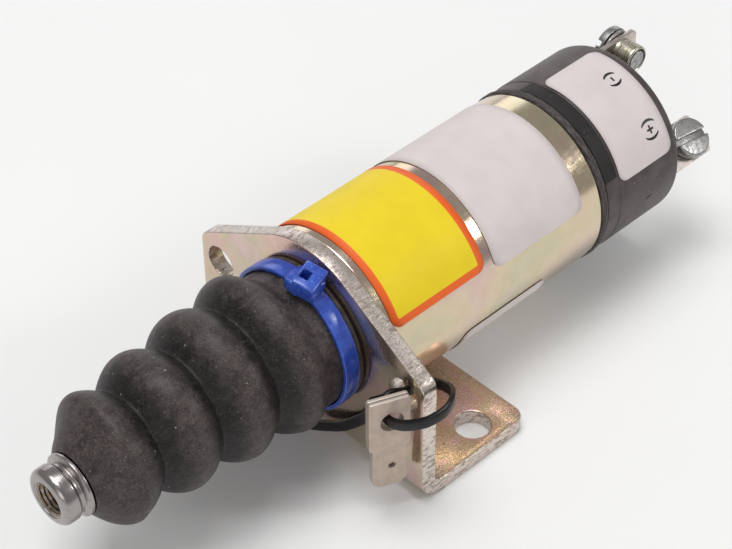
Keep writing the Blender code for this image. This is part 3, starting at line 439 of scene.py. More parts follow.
def gasket_rubber():
    """Dull dark ring with a ragged, dusty rim."""
    skin = Finish("gasket_rubber")
    streaks = skin.noise(1.4, 4.0, 0.65, skin.rolled_out(), (1.6, 0.35, 1))
    colour = mixed(ramped(streaks, 0.35, 0.75), (0.040, 0.035, 0.034), (0.13, 0.110, 0.106))
    rough = ramped(streaks, 0.3, 0.7, 0.60, 0.80)
    normal = skin.bump(streaks + skin.noise(4.0, 2.0), 0.08, 0.7)
    return skin.done(Base_Color=colour, Roughness=rough, Normal=normal, Specular_IOR_Level=0.3)


def black_moulding():
    """Warm black moulding with handling marks, dust, a nick, and a darker strip beside the gasket."""
    skin = Finish("black_moulding")
    distance, turn = skin.about_axis()
    cloud = skin.noise(0.22, 3.0, 0.55)
    grain = skin.noise(3.2, 3.0, 0.6)
    colour = mixed(ramped(cloud, 0.3, 0.7), (0.056, 0.043, 0.043), (0.090, 0.070, 0.070))
    strip = (skin.x < CAP_STEP[0]) * (distance > CAP[2] - 0.6)
    strip = strip * (turn < math.radians(67)) * (turn > math.radians(-20))
    colour = mixed(strip * 0.9, colour, (0.012, 0.011, 0.011))
    smudge = (0.8, 3.0, 0.6, None, (0.5, 1.4, 1.4))
    colour = skin.worn(colour, 0.25, (0.16, 0.14, 0.14), 0.62, 0.74, *smudge)
    dust = skin.specks(0.9, 0.16, 0.10)
    colour = mixed(dust * 0.6, colour, (0.30, 0.28, 0.27))
    nick_x = (skin.x - CAP_NICK[0]) / 1.3
    nick_y = (turn - CAP_NICK[1]) * CAP[2] / 0.5
    nick = ramped(nick_x * nick_x + nick_y * nick_y, 1.2, 0.4)
    colour = mixed(nick, colour, (0.008, 0.007, 0.007))
    roughness = ramped(grain, 0.3, 0.7, 0.36, 0.50) + strip * 0.12
    normal = skin.bump(grain * 0.5 + cloud * 0.4 - nick * 3.0, 0.08, 0.4)
    return skin.done(Base_Color=colour, Roughness=roughness, Normal=normal, Specular_IOR_Level=0.32)


def coloured_nylon(name, dark, light, roughness, frayed=None, shine=0.5):
    """Moulded nylon with flow marks and small scuffs, and whiter frayed flashes round a place where given."""
    skin = Finish(name)
    flow = skin.noise(0.5, 3.0, 0.55)
    colour = mixed(ramped(flow, 0.3, 0.7), dark, light)
    paler = tuple(min(1.0, 2.2 * c + 0.02) for c in light)
    colour = skin.worn(colour, 0.45, paler, 0.62, 0.72, 1.8, 4.0, 0.7)
    if frayed:
        ends = {0: skin.place, 1: frayed}
        away = skin.place.node("ShaderNodeVectorMath", {"operation": "DISTANCE"}, ends, 1)
        flash = ramped(skin.noise(1.5, 4.0, 0.75), 0.60, 0.66) * ramped(away, 8.0, 3.0)
        colour = mixed(flash * 0.7, colour, (0.40, 0.50, 0.85))
    normal = skin.bump(flow * 0.6 + skin.noise(4.0, 2.0) * 0.3, 0.06, 0.45)
    rough = ramped(flow, 0.3, 0.7, roughness, roughness + 0.12)
    return skin.done(Base_Color=colour, Roughness=rough, Normal=normal, Specular_IOR_Level=shine)


def bright_nickel():
    """Turned and plated bush: bright, with turning lines round the axis and brown oil in the thread."""
    skin = Finish("bright_nickel")
    distance, _ = skin.about_axis()
    lines = skin.noise(5.0, 2.0, 0.6, skin.rolled_out(6.0), (1, 0.06, 1))
    stain = ramped(skin.noise(0.7, 3.0, 0.6), 0.52, 0.72)
    colour = mixed(stain * 0.4, (0.37, 0.345, 0.335), (0.24, 0.22, 0.21))
    oily = (distance < TIP_BORE + 0.3) * ramped(skin.noise(1.2, 3.0), 0.25, 0.6)
    colour = mixed(oily, colour, (0.26, 0.19, 0.13))
    roughness = ramped(lines, 0.3, 0.75, 0.20, 0.30) + oily * 0.2 + stain * 0.06
    normal = skin.bump(lines, 0.025, 0.35)
    return skin.done(Base_Color=colour, Metallic=1.0, Roughness=roughness, Normal=normal)


def tinned_metal():
    """Tinned brass tab, pale and rosy with dull stains, and its barrel where brass shows through."""
    skin = Finish("tinned_metal")
    mottle = skin.noise(0.9, 4.0, 0.6)
    colour = mixed(ramped(mottle, 0.3, 0.7), (0.66, 0.57, 0.53), (0.50, 0.45, 0.42))
    stain = ramped(skin.noise(0.45, 3.0, 0.6), 0.56, 0.68)
    colour = mixed(stain * 0.5, colour, (0.38, 0.31, 0.25))
    brassy = mixed(ramped(mottle, 0.35, 0.65), (0.72, 0.69, 0.60), (0.42, 0.39, 0.31))
    colour = mixed(skin.mark("barrel"), colour, brassy)
    scratch = (1.6, 2.0, 0.7, None, (0.25, 2.0, 2.0))
    colour = skin.worn(colour, 0.4, (0.80, 0.74, 0.70), 0.64, 0.70, *scratch)
    roughness = ramped(mottle, 0.3, 0.7, 0.26, 0.40) + stain * 0.15
    normal = skin.bump(skin.noise(4.5, 3.0, 0.6) * 0.5 + mottle, 0.04, 0.4)
    return skin.done(Base_Color=colour, Metallic=0.95, Roughness=roughness, Normal=normal)


def screw_zinc():
    """Plain zinc of the screws and washers: mid-grey, with screwdriver marks and dark pits."""
    skin = Finish("screw_zinc")
    mottle = skin.noise(1.3, 4.0, 0.6)
    colour = mixed(ramped(mottle, 0.3, 0.7), (0.43, 0.425, 0.41), (0.26, 0.255, 0.25))
    pits = ramped(skin.noise(3.5, 3.0, 0.65), 0.60, 0.72)
    colour = mixed(pits * 0.6, colour, (0.14, 0.135, 0.13))
    scratch = (1.8, 2.0, 0.7, None, (0.3, 2.2, 2.2))
    colour = skin.worn(colour, 0.5, (0.72, 0.71, 0.68), 0.62, 0.69, *scratch)
    roughness = ramped(mottle, 0.3, 0.7, 0.26, 0.42)
    normal = skin.bump(mottle - pits * 0.5, 0.05, 0.5)
    return skin.done(Base_Color=colour, Metallic=0.95, Roughness=roughness, Normal=normal)


def dull_tin():
    """Matt tin of the loose adapters: beige-grey and even, with a few scuffs."""
    skin = Finish("dull_tin")
    cloud = skin.noise(0.5, 3.0, 0.55)
    fine = skin.noise(3.0, 4.0, 0.6)
    colour = mixed(ramped(cloud, 0.3, 0.7), (0.57, 0.47, 0.39), (0.48, 0.39, 0.32))
    scuff = (1.4, 3.0, 0.7, None, (1.2, 1.2, 0.4))
    colour = skin.worn(colour, 0.35, (0.52, 0.46, 0.41), 0.64, 0.72, *scuff)
    edge = skin.mark("sheared")
    colour = mixed(edge * 0.7, colour, (0.62, 0.56, 0.50))
    roughness = ramped(fine, 0.3, 0.7, 0.46, 0.60) - edge * 0.12
    normal = skin.bump(fine, 0.04, 0.35)
    return skin.done(Base_Color=colour, Metallic=0.5, Roughness=roughness, Normal=normal)


def turned_metal(name, light, dark, roughness):
    """Bare metal of the inner pieces, with turning lines round the axis and a little tarnish."""
    skin = Finish(name)
    lines = skin.noise(3.0, 2.0, 0.6, skin.rolled_out(12.0), (1, 0.05, 1))
    tarnish = ramped(skin.noise(0.3, 4.0, 0.6), 0.4, 0.7)
    colour = mixed(tarnish, light, dark)
    normal = skin.bump(lines, 0.04, 0.5)
    rough = ramped(lines, 0.3, 0.7, roughness, roughness + 0.15) + tarnish * 0.08
    return skin.done(Base_Color=colour, Metallic=1.0, Roughness=rough, Normal=normal)


def wound_copper():
    """Enamelled wire: fine turns beside each other round the axis."""
    skin = Finish("copper_wire")
    phase = skin.x * (2 * math.pi / 0.8)
    turns = ramped(phase.math("SINE"), -1.0, 1.0)
    cloud = skin.noise(0.4, 3.0)
    colour = mixed(ramped(cloud, 0.3, 0.7), (0.62, 0.27, 0.12), (0.48, 0.19, 0.09))
    colour = mixed(turns, (0.20, 0.07, 0.03), colour)
    normal = skin.bump(turns, 0.25, 0.8)
    return skin.done(Base_Color=colour, Metallic=0.8, Roughness=0.3 + cloud * 0.15, Normal=normal)


def sticker(name, face, border=None, edge=None, size=None):
    """Printed film: its face colour, a border at this distance from its edge, and a little dirt and wear."""
    skin = Finish(name)
    cloud = skin.noise(0.18, 3.0, 0.5)
    colour = mixed(ramped(cloud, 0.3, 0.7) * 0.5, face, tuple(c * 0.88 for c in face))
    if border:
        squares = 0.0
        for part, whole in zip(skin.parts(skin.x.node("ShaderNodeUVMap", {"uv_map": "sheet"})), size):
            out = (part - whole / 2).math("ABSOLUTE") - (whole / 2 - LABEL_CORNER)
            corner = out.math("MAXIMUM", 0.0)
            squares = squares + corner * corner
        reach = squares**0.5
        on_border = ramped(reach, LABEL_CORNER - edge - 0.06, LABEL_CORNER - edge + 0.06)
        colour = mixed(on_border, colour, border)
    scuff = (0.9, 4.0, 0.7, None, (0.4, 1.6, 1.6))
    colour = skin.worn(colour, 0.18, (0.45, 0.40, 0.36), 0.66, 0.78, *scuff)
    fine = skin.noise(1.6, 3.0, 0.6)
    return skin.done(
        Base_Color=colour,
        Roughness=ramped(fine, 0.3, 0.7, 0.46, 0.58),
        Normal=skin.bump(fine, 0.02, 0.35),
        Specular_IOR_Level=0.35,
    )


def sign_ink():
    """Black print with a slightly uneven edge of wear."""
    skin = Finish("sign_ink")
    worn = skin.noise(2.5, 3.0, 0.6)
    colour = mixed(ramped(worn, 0.45, 0.8), (0.008, 0.008, 0.008), (0.035, 0.033, 0.033))
    rough = ramped(worn, 0.3, 0.7, 0.35, 0.5)
    return skin.done(Base_Color=colour, Roughness=rough, Normal=skin.bump(worn, 0.01, 0.3))


def studio_floor():
    """Pale paper."""
    skin = Finish("studio_floor")
    tone = skin.noise(0.02, 2.0)
    return skin.done(Base_Color=mixed(tone, (0.90, 0.90, 0.895), (0.93, 0.93, 0.925)), Roughness=0.75)


def filleted(corners, steps):
    """An outline through (x, y, radius) corners, each rounded by an arc of its radius."""
    outline = []
    for i, (x, y, radius) in enumerate(corners):
        here = Vector((x, y))
        if radius <= 0:
            outline.append((x, y))
            continue
        before = (Vector(corners[i - 1][:2]) - here).normalized()
        after = (Vector(corners[(i + 1) % len(corners)][:2]) - here).normalized()
        half = before.angle(after) / 2
        centre = here + (before + after).normalized() * radius / math.sin(half)
        first = here + before * radius / math.tan(half) - centre
        sweep = first.angle_signed(here + after * radius / math.tan(half) - centre)
        for k in range(steps + 1):
            outline.append(tuple(centre + Matrix.Rotation(-sweep * k / steps, 2) @ first))
    return outline


def circle(x, y, radius, steps=64):
    turns = [2 * math.pi * i / steps for i in range(steps)]
    return [(x + radius * math.cos(t), y + radius * math.sin(t)) for t in turns]


def linked(name, data):
    """A new object with this data, in the scene."""
    obj = bpy.data.objects.new(name, data)
    bpy.context.scene.collection.objects.link(obj)
    return obj


def mesh_of(name, verts, faces):
    mesh = bpy.data.meshes.new(name)
    mesh.from_pydata(verts, [], faces)
    return mesh


def curve_of(name, lines, closed):
    """A curve through the points of each line: flat and closed, or open in space."""
    curve = bpy.data.curves.new(name, "CURVE")
    curve.dimensions = "2D" if closed else "3D"
    for line in lines:
        spline = curve.splines.new("POLY")
        spline.points.add(len(line) - 1)
        for point, place in zip(spline.points, line):
            point.co = (*Vector(place).to_3d(), 1)
        spline.use_cyclic_u = closed
    return curve


def cleaned(mesh, *steps):
    """The mesh with its double points merged, then taken through these steps."""
    work = bmesh.new()
    work.from_mesh(mesh)
    bmesh.ops.remove_doubles(work, verts=work.verts, dist=MERGE_REACH)
    for step in steps:
        step(work)
    work.to_mesh(mesh)
    work.free()
    return mesh


def no_slivers(work):
    bmesh.ops.dissolve_degenerate(work, edges=work.edges, dist=MERGE_REACH)


def flat_faces(work):
    bmesh.ops.dissolve_limit(work, angle_limit=math.radians(0.5), verts=work.verts, edges=work.edges)


def outward(work):
    bmesh.ops.recalc_face_normals(work, faces=work.faces)


def painted(mesh, finish):
    mesh.materials.clear()
    mesh.materials.append(FINISHES[finish])


def finished(name, mesh, finish, place=Matrix.Identity(4), sharp=35):
    """A piece in the row frame from a mesh in millimetres, shaded smooth up to an angle."""
    cleaned(mesh, no_slivers, outward)
    mesh.transform(INTO_ROW @ place)
    mesh.shade_smooth()
    mesh.set_sharp_from_angle(angle=math.radians(sharp))
    mesh.name = name
    painted(mesh, finish)
    return linked(name, mesh)


def settled(obj):
    """The object's evaluated mesh, with the object gone."""
    bpy.context.view_layer.update()
    mesh = bpy.data.meshes.new_from_object(obj.evaluated_get(bpy.context.evaluated_depsgraph_get()))
    bpy.data.objects.remove(obj)
    return mesh


def band(first, second, steps):
    """The faces between two rings of points, each given by the number of its first point."""
    ring = [(i, (i + 1) % steps) for i in range(steps)]
    return [(first + i, first + j, second + j, second + i) for i, j in ring]


def turned_mesh(name, outline, steps, warp=None):
    """A closed lathe shape along X from an outline of (x, radius), bent by warp where given."""
    verts = []
    for x, radius in outline:
        for i in range(steps):
            turn = 2 * math.pi * i / steps
            here = warp(x, radius, turn) if warp else (x, radius)
            verts.append((here[0], -here[1] * math.sin(turn), here[1] * math.cos(turn)))
    faces = []
    count = len(outline)
    for k in range(count):
        if outline[k][1] <= 0 and outline[(k + 1) % count][1] <= 0:
            continue
        faces += band(k * steps, (k + 1) % count * steps, steps)
    return mesh_of(name, verts, faces)


def ring_mesh(name, sizes, rounds, arc, steps, warp=None):
    """A ring between two places along X and two radii, with its four edges rounded."""
    front, rear, bore, outer = sizes
    corners = list(zip((front, rear, rear, front), (outer, outer, bore, bore), rounds))
    return turned_mesh(name, filleted(corners, arc), steps, warp)


def flat_mesh(name, outlines, thickness, place=Matrix.Identity(4)):
    """A flat plate's mesh, centred on its plane: the first outline is its edge and the others are holes."""
    curve = curve_of(name, outlines, True)
    curve.fill_mode = "BOTH"
    curve.extrude = thickness / 2
    mesh = cleaned(settled(linked(name, curve)), outward)
    mesh.transform(place)
    return mesh


def block_mesh(name, size, place, bevel, segments=3):
    """A box with rounded edges, set in place."""
    mesh = bpy.data.meshes.new(name)
    work = bmesh.new()
    bmesh.ops.create_cube(work, size=1)
    bmesh.ops.scale(work, vec=size, verts=work.verts)
    bmesh.ops.bevel(work, geom=work.edges[:], offset=bevel, segments=segments, affect="EDGES", profile=0.5)
    bmesh.ops.transform(work, matrix=place, verts=work.verts)
    work.to_mesh(mesh)
    work.free()
    return mesh


def carved(mesh, *cuts):
    """The mesh after Boolean cuts and joins, given as (operation, mesh)."""
    body = linked("carved", mesh)
    tools = []
    for operation, tool in cuts:
        cutter = linked("cutter", tool)
        tools.append(cutter)
        modifier = body.modifiers.new("cut", "BOOLEAN")
        modifier.operation = operation
        modifier.solver = "EXACT"
        modifier.object = cutter
    result = settled(body)
    for cutter in tools:
        bpy.data.objects.remove(cutter)
    return result


def softened(mesh, width, segments=3, angle=40):
    """The mesh with its sharp edges rounded."""
    obj = linked("softened", cleaned(mesh, flat_faces))
    bevel = obj.modifiers.new("round", "BEVEL")
    bevel.width = width
    bevel.segments = segments
    bevel.limit_method = "ANGLE"
    bevel.angle_limit = math.radians(angle)
    bevel.use_clamp_overlap = True
    return settled(obj)


def joined(*meshes):
    """Several meshes as one."""
    work = bmesh.new()
    for mesh in meshes:
        work.from_mesh(mesh)
    result = bpy.data.meshes.new("joined")
    work.to_mesh(result)
    work.free()
    return result


def marked(obj, attribute, chosen):
    """Marks the faces that are chosen by their centre, in millimetres about the axis, and their normal."""
    marks = obj.data.attributes.new(attribute, "FLOAT", "FACE")
    for face in obj.data.polygons:
        marks.data[face.index].value = float(chosen((face.center - AXIS) / MM, face.normal))


def bracket():
    """The folded plate, with its edges broken and its sheared edges marked for the material."""
    low = -AXIS_HEIGHT
    high = CROWN_RADIUS + PLATE
    past_fold, whole, through = 7, 120, 16
    bend = [
        (0, high, 0),
        (0, low, FOLD_RADIUS),
        (FOOT_REACH, low, 0),
        (FOOT_REACH, low + PLATE, 0),
        (PLATE, low + PLATE, FOLD_RADIUS - PLATE),
        (PLATE, high, 0),
    ]
    upright = Matrix.Rotation(math.pi / 2, 4, "X")
    facing = Matrix.Rotation(math.pi / 2, 4, "Z") @ upright
    sheet = flat_mesh("bend", [filleted(bend, 16)], 2 * FLANGE_HALF_WIDTH, upright)
    shoulder = (CROWN_RADIUS - FLANGE_HALF_WIDTH * math.sin(CROWN_SLOPE)) / math.cos(CROWN_SLOPE)
    face = [
        (-FLANGE_HALF_WIDTH, low - past_fold, 0),
        (FLANGE_HALF_WIDTH, low - past_fold, 0),
        (FLANGE_HALF_WIDTH, shoulder, CORNER_RADIUS),
        (0, CROWN_RADIUS / math.cos(CROWN_SLOPE), CROWN_RADIUS),
        (-FLANGE_HALF_WIDTH, shoulder, CORNER_RADIUS),
    ]
    base = [
        (-past_fold, -FLANGE_HALF_WIDTH, 0),
        (FOOT_REACH, -FLANGE_HALF_WIDTH, CORNER_RADIUS),
        (FOOT_REACH, FLANGE_HALF_WIDTH, CORNER_RADIUS),
        (-past_fold, FLANGE_HALF_WIDTH, 0),
    ]
    cuts = [
        ("INTERSECT", flat_mesh("face", [filleted(face, 32)], whole, facing)),
        ("INTERSECT", flat_mesh("base", [filleted(base, 16)], whole)),
        ("DIFFERENCE", flat_mesh("spigot", [circle(0, 0, SPIGOT_HOLE)], through, facing)),
    ]
    for sign in (1, -1):
        ear = circle(sign * EAR_HOLE[0], 0, EAR_HOLE[1])
        foot = circle(FOOT_HOLE[0], sign * FOOT_HOLE[1], FOOT_HOLE[2])
        cuts.append(("DIFFERENCE", flat_mesh("ear", [ear], through, facing)))
        cuts.append(("DIFFERENCE", flat_mesh("foot", [foot], through, Matrix.Translation((0, 0, low)))))
    mesh = softened(carved(sheet, *cuts), 0.32)
    obj = finished("bracket_plate", mesh, "bracket_plating")

    def torn(centre, normal):
        in_fold = centre.x < FOLD_RADIUS and centre.z < low + FOLD_RADIUS
        across = abs(normal.x) if centre.z > low + FOLD_RADIUS else abs(normal.z)
        return abs(normal.y) > SIDE_LEAN or (not in_fold and across < FACE_LEAN)

    marked(obj, "sheared", torn)
    return obj


def can():
    return finished("can_shell", ring_mesh("can", CAN, (0.5, 0.35, 0.1, 0.1), 6, 192), "can_plating")


def gasket():
    def ragged(x, r, turn):
        lift = noise.noise(Vector((math.cos(turn) * 9, math.sin(turn) * 9, x)))
        return x, r + (0.10 * lift - 0.05 if r > GASKET[2] + 0.5 else 0)

    ring = ring_mesh("gasket", GASKET, (0.5, 0.5, 0.1, 0.1), 5, 192, ragged)
    return finished("gasket_ring", ring, "gasket_rubber")


def tab_frame(name):
    return Matrix.Rotation(TERMINALS[name][0], 4, "X")


def cap():
    """The moulded cap with its thick wall, the step beside the gasket and a slot for each tab."""
    front, rear, radius = CAP
    spigot_front, spigot_bore, spigot_radius = CAP_SPIGOT
    post_front, post_radius = CAP_POST
    step, deep = CAP_STEP
    corners = [
        (spigot_front, spigot_radius, 0.2),
        (front, spigot_radius, 0),
        (front, radius - deep, 0.15),
        (step, radius - deep, 0.05),
        (step + 0.25, radius, 0.05),
        (rear, radius, 1.6),
        (rear, 4.0, 0.3),
        (rear - 0.35, 3.4, 0.2),
        (rear - 0.35, 0, 0),
        (post_front, 0, 0),
        (post_front, post_radius, 0.2),
        (rear - CAP_WALL, post_radius, 0.3),
        (rear - CAP_WALL, radius - CAP_WALL, 0.5),
        (front + CAP_WALL, radius - CAP_WALL, 0.2),
        (front, spigot_bore, 0.2),
        (spigot_front, spigot_bore, 0.2),
    ]
    mesh = cleaned(turned_mesh("cap", filleted(corners, 6), 192), outward)
    cuts = []
    for name, (_, seat, _, centre) in TERMINALS.items():
        place = tab_frame(name) @ Matrix.Translation((rear, -centre, seat - TAB[3] / 2))
        cuts.append(("DIFFERENCE", block_mesh("slot", (12.4, TAB[2] + 0.3, TAB[3] + 0.3), place, 0.1, 1)))
    return finished("cap_moulding", carved(mesh, *cuts), "black_moulding")


def geometry_tree(name, sizes):
    """A Geometry Nodes tree with these named inputs, and the values that they give inside it."""
    tree = bpy.data.node_groups.new(name, "GeometryNodeTree")
    tree.interface.new_socket("Geometry", in_out="OUTPUT", socket_type="NodeSocketGeometry")
    tree.interface.new_socket("Geometry", in_out="INPUT", socket_type="NodeSocketGeometry")
    for size, kind in sizes.items():
        tree.interface.new_socket(size, in_out="INPUT", socket_type="NodeSocket" + kind)
    entry = tree.nodes.new("NodeGroupInput")
    values = {socket.name: Value(tree, socket) for socket in entry.outputs if socket.name}
    return tree, values


def tree_done(tree, geometry, material):
    """Ends a tree in Realize Instances and Set Material."""
    real = geometry.node("GeometryNodeRealizeInstances", None, {0: geometry})
    dressed = real.node("GeometryNodeSetMaterial", None, {"Geometry": real, "Material": material})
    tree.links.new(dressed.socket, tree.nodes.new("NodeGroupOutput").inputs[0])


def grown(name, tree, sizes, base=None):
    """The plain mesh that a tree makes with these sizes, set by its sockets' identifiers."""
    obj = linked(name, base or bpy.data.meshes.new(name))
    modifier = obj.modifiers.new(name, "NODES")
    modifier.node_group = tree
    for socket in tree.interface.items_tree:
        if socket.in_out == "INPUT" and socket.name in sizes:
            modifier[socket.identifier] = sizes[socket.name]
    return settled(obj)


def bellows_tree():
    """A bellows along X: a dome behind its neck, lobes that grow towards the rear, a skirt and a cuff."""
    kinds = dict.fromkeys(BOOT, "Float") | {"Rings": "Int", "Sides": "Int", "Material": "Material"}
    tree, size = geometry_tree("bellows", kinds)
    start = size["Rear"]
    ends = [start.node("ShaderNodeCombineXYZ", None, {0: size[end]}) for end in ("Neck Front", "Rear")]
    line = start.node("GeometryNodeCurvePrimitiveLine", None, {"Start": ends[0], "End": ends[1]})
    line = line.node("GeometryNodeResampleCurve", None, {"Curve": line, "Count": size["Rings"]})
    place = start.node("GeometryNodeInputPosition")
    x = place.node("ShaderNodeSeparateXYZ", None, {0: place})

    ahead = (size["First Crest"] - x) / size["Dome"]
    ahead = ahead.math("MAXIMUM", 0.0).math("MINIMUM", 1.0)
    rise = 1 - ahead ** size["Dome Fullness"]
    dome = size["Neck Radius"] + (size["First Radius"] - size["Neck Radius"]) * rise

    phase = (x - size["First Crest"]) / size["Pitch"]
    swing = (phase * math.pi).math("COSINE")
    bulge = ((swing * swing + 0.012) / 1.012) ** 0.43
    reach = (x - size["First Crest"]) / (size["Last Crest"] - size["First Crest"])
    crest = size["First Radius"] + (size["Last Radius"] - size["First Radius"]) * reach
    lobes = crest - size["Valley Depth"] * (1 - bulge)

    behind = ramped(x, size["Last Crest"], size["Cuff Front"])
    skirt = size["Last Radius"] + (size["Cuff Radius"] - size["Last Radius"]) * behind
    rim = ramped(x, size["Bead Front"] - 0.25, size["Bead Front"] + 0.1)
    skirt = skirt + (size["Bead Radius"] - size["Cuff Radius"]) * rim

    in_dome = x < size["First Crest"]
    in_skirt = x > size["Last Crest"]
    radius = dome * in_dome + lobes * (1 - in_dome) * (1 - in_skirt) + skirt * in_skirt

    line = line.node("GeometryNodeSetCurveNormal", {"mode": "Z_UP"}, {"Curve": line})
    ring = start.node("GeometryNodeCurvePrimitiveCircle", None, {"Resolution": size["Sides"], "Radius": 1.0})
    skin = line.node("GeometryNodeCurveToMesh", None, {"Curve": line, "Profile Curve": ring, "Scale": radius})

    in_front = ramped(x, size["Neck Front"] + 2, size["First Crest"] + 2)
    sag = in_front * ramped(x, size["Last Crest"] + 5, size["Last Crest"] - 3)
    neck_rise = ramped(x, size["Neck Front"] + 0.5, size["Neck Front"] + 3.5)
    drop = neck_rise * ramped(x, size["First Crest"] + 2, size["First Crest"] - 3)
    sideways = sag * size["Sideways"] + drop * size["Dome Sideways"]
    upwards = sag * size["Upwards"] + drop * size["Dome Upwards"]
    shift = start.node("ShaderNodeCombineXYZ", None, {1: sideways, 2: upwards})
    skin = skin.node("GeometryNodeSetPosition", None, {"Geometry": skin, "Offset": shift})
    tree_done(tree, skin, size["Material"])
    return tree


def boot():
    """The rubber bellows: its skin from the tree, small uneven places, and a wall inside."""
    sizes = BOOT | {"Rings": 300, "Sides": 144, "Material": FINISHES["boot_rubber"]}
    mesh = grown("bellows_skin", bellows_tree(), sizes)
    for vertex in mesh.vertices:
        x, y, z = vertex.co
        reach = max(0.0, min(1.0, (-3 - x) / 12)) * max(0.0, min(1.0, (x + 55) / 6))
        dent = noise.noise(Vector((x, y, z)) * 0.11) * 0.22 * reach
        vertex.co += Vector((0, y, z)).normalized() * dent
    obj = linked("boot_wall", mesh)
    wall = obj.modifiers.new("wall", "SOLIDIFY")
    wall.thickness = BOOT_WALL
    wall.offset = -1
    obj = finished("boot_bellows", settled(obj), "boot_rubber", sharp=60)
    # The crest share of each point, which the rubber's material uses to paint the crests lighter and to paint
    # shade into the folds.
    crests = obj.data.attributes.new("crest", "FLOAT", "POINT")
    for vertex in obj.data.vertices:
        x = (vertex.co.x - AXIS.x) / MM
        phase = math.pi * (x - BOOT["First Crest"]) / BOOT["Pitch"]
        between = BOOT["First Crest"] < x < BOOT["Last Crest"]
        crests.data[vertex.index].value = math.cos(phase) ** 2 if between else 0.85
    return obj


def tip():
    """The plated bush with a rounded nose, a rim, the boot's groove and a threaded bore."""
    corners = [
        (TIP_NOSE, 3.75, 0.25),
        (TIP_NOSE, 5.75, 1.45),
        (-59.6, 5.75, 0.5),
        (-59.1, 5.25, 0.25),
        (-58.35, 5.2, 0.3),
        (-57.75, 6.4, 0.22),
        (-57.0, 6.4, 0.22),
        (-57.0, 4.6, 0),
        (-54.6, 4.6, 0),
        (-54.6, 7.6, 0.3),
        (-52.8, 7.6, 0.3),
        (-52.8, 5.0, 0.2),
        (-50.2, 5.0, 0.3),
        (-50.2, TIP_BORE, 0.1),
        (TIP_BORE_END, TIP_BORE, 0),
    ]
    outline = filleted(corners, 6) + [(TIP_BORE_END - 0.1 * i, TIP_BORE) for i in range(1, 60)]
    pitch, depth = TIP_THREAD

    def threaded(x, radius, turn):
        if radius > TIP_BORE + 0.05 or x > TIP_BORE_END:
            return x, radius
        wave = ((x / pitch - turn / (2 * math.pi)) % 1.0) * 2 - 1
        fade = min(1.0, (x - TIP_NOSE - 0.4) / 0.5, (TIP_BORE_END - x) / 0.3)
        return x, radius - depth * (1 - abs(wave)) * fade

    return finished("tip_bush", turned_mesh("tip", outline, 128, threaded), "bright_nickel", sharp=30)


def boot_tie():
    """The strap round the cuff with its raised chevron, and the locking head with its slot and root."""
    front, rear, _, _ = STRAP
    strap = ring_mesh("strap", STRAP, (0.3, 0.3, 0.2, 0.2), 4, 160)
    turn = Matrix.Rotation(HEAD_TURN, 4, "X")
    twist = turn @ Matrix.Translation(HEAD_PLACE) @ Matrix.Rotation(HEAD_TWIST, 4, "Z")
    middle = (front + rear) / 2
    under = twist @ Matrix.Translation((0, 0, -HEAD_SIZE[2] / 2))
    slot = twist @ Matrix.Translation((-0.25, 0.85, 0))

    def on_strap(name, size, degrees, x, radius, bevel=0.3):
        further = Matrix.Rotation(math.radians(degrees), 4, "X")
        return "UNION", block_mesh(name, size, turn @ further @ Matrix.Translation((x, 0, radius)), bevel)

    solid = carved(
        strap,
        ("UNION", block_mesh("head", HEAD_SIZE, under, 0.4)),
        on_strap("neck", (3.3, 4.4, 3.2), 0.0, middle, 16.7),
        on_strap("root", (3.6, 3.0, 1.6), -10.5, middle, 16.1, bevel=0.35),
        on_strap("shoulder", (2.4, 3.3, 2.8), -5.5, front - 0.9, 17.0, bevel=0.4),
        on_strap("chevron_near", (1.5, 0.35, 0.3), -18.5, middle + 0.5, 15.7, bevel=0.1),
        on_strap("chevron_far", (0.35, 1.5, 0.3), -17.0, middle - 0.4, 15.7, bevel=0.1),
        ("DIFFERENCE", block_mesh("slot", (2.2, 1.9, 7.2), slot, 0.15, 2)),
    )
    return finished("tie_strap_and_head", solid, "blue_nylon")


def label(name):
    """A sticker wrapped on its carrier, with rounded corners and a sheet map in millimetres."""
    front, rear, start, end, carrier = LABELS[name]
    radius = carrier + LABEL_GAP
    corner_turn = LABEL_CORNER / radius
    corner_steps, steps, rows = 10, 48, 12
    columns = []
    for i in range(corner_steps + 1):
        bend = math.pi / 2 * i / corner_steps
        columns.append((start + corner_turn * (1 - math.cos(bend)), LABEL_CORNER * (1 - math.sin(bend))))
    mirrored = [(start + end - turn, inset) for turn, inset in reversed(columns)]
    first, last = columns[-1][0], mirrored[0][0]
    columns += [(first + (last - first) * i / steps, 0.0) for i in range(1, steps)] + mirrored
    verts, sheet = [], []
    for turn, inset in columns:
        for k in range(rows + 1):
            x = front + inset + (rear - front - 2 * inset) * k / rows
            verts.append((x, -radius * math.sin(turn), radius * math.cos(turn)))
            sheet.append(((turn - start) * radius, x - front))
    faces = []
    for i in range(len(columns) - 1):
        for k in range(rows):
            a = i * (rows + 1) + k
            faces.append((a, a + rows + 1, a + rows + 2, a + 1))
    mesh = mesh_of(name, verts, faces)
    layer = mesh.uv_layers.new(name="sheet")
    for loop in mesh.loops:
        layer.data[loop.index].uv = sheet[loop.vertex_index]
    obj = finished(name + "_film", mesh, name)
    face = obj.data.polygons[0]
    out = face.center - AXIS
    if face.normal.dot(Vector((0, out.y, out.z))) < 0:
        obj.data.flip_normals()
    wall = obj.modifiers.new("film", "SOLIDIFY")
    wall.thickness = LABEL_THICK * MM
    wall.offset = 1
    return obj


def label_size(name):
    front, rear, start, end, carrier = LABELS[name]
    return (end - start) * (carrier + LABEL_GAP), rear - front


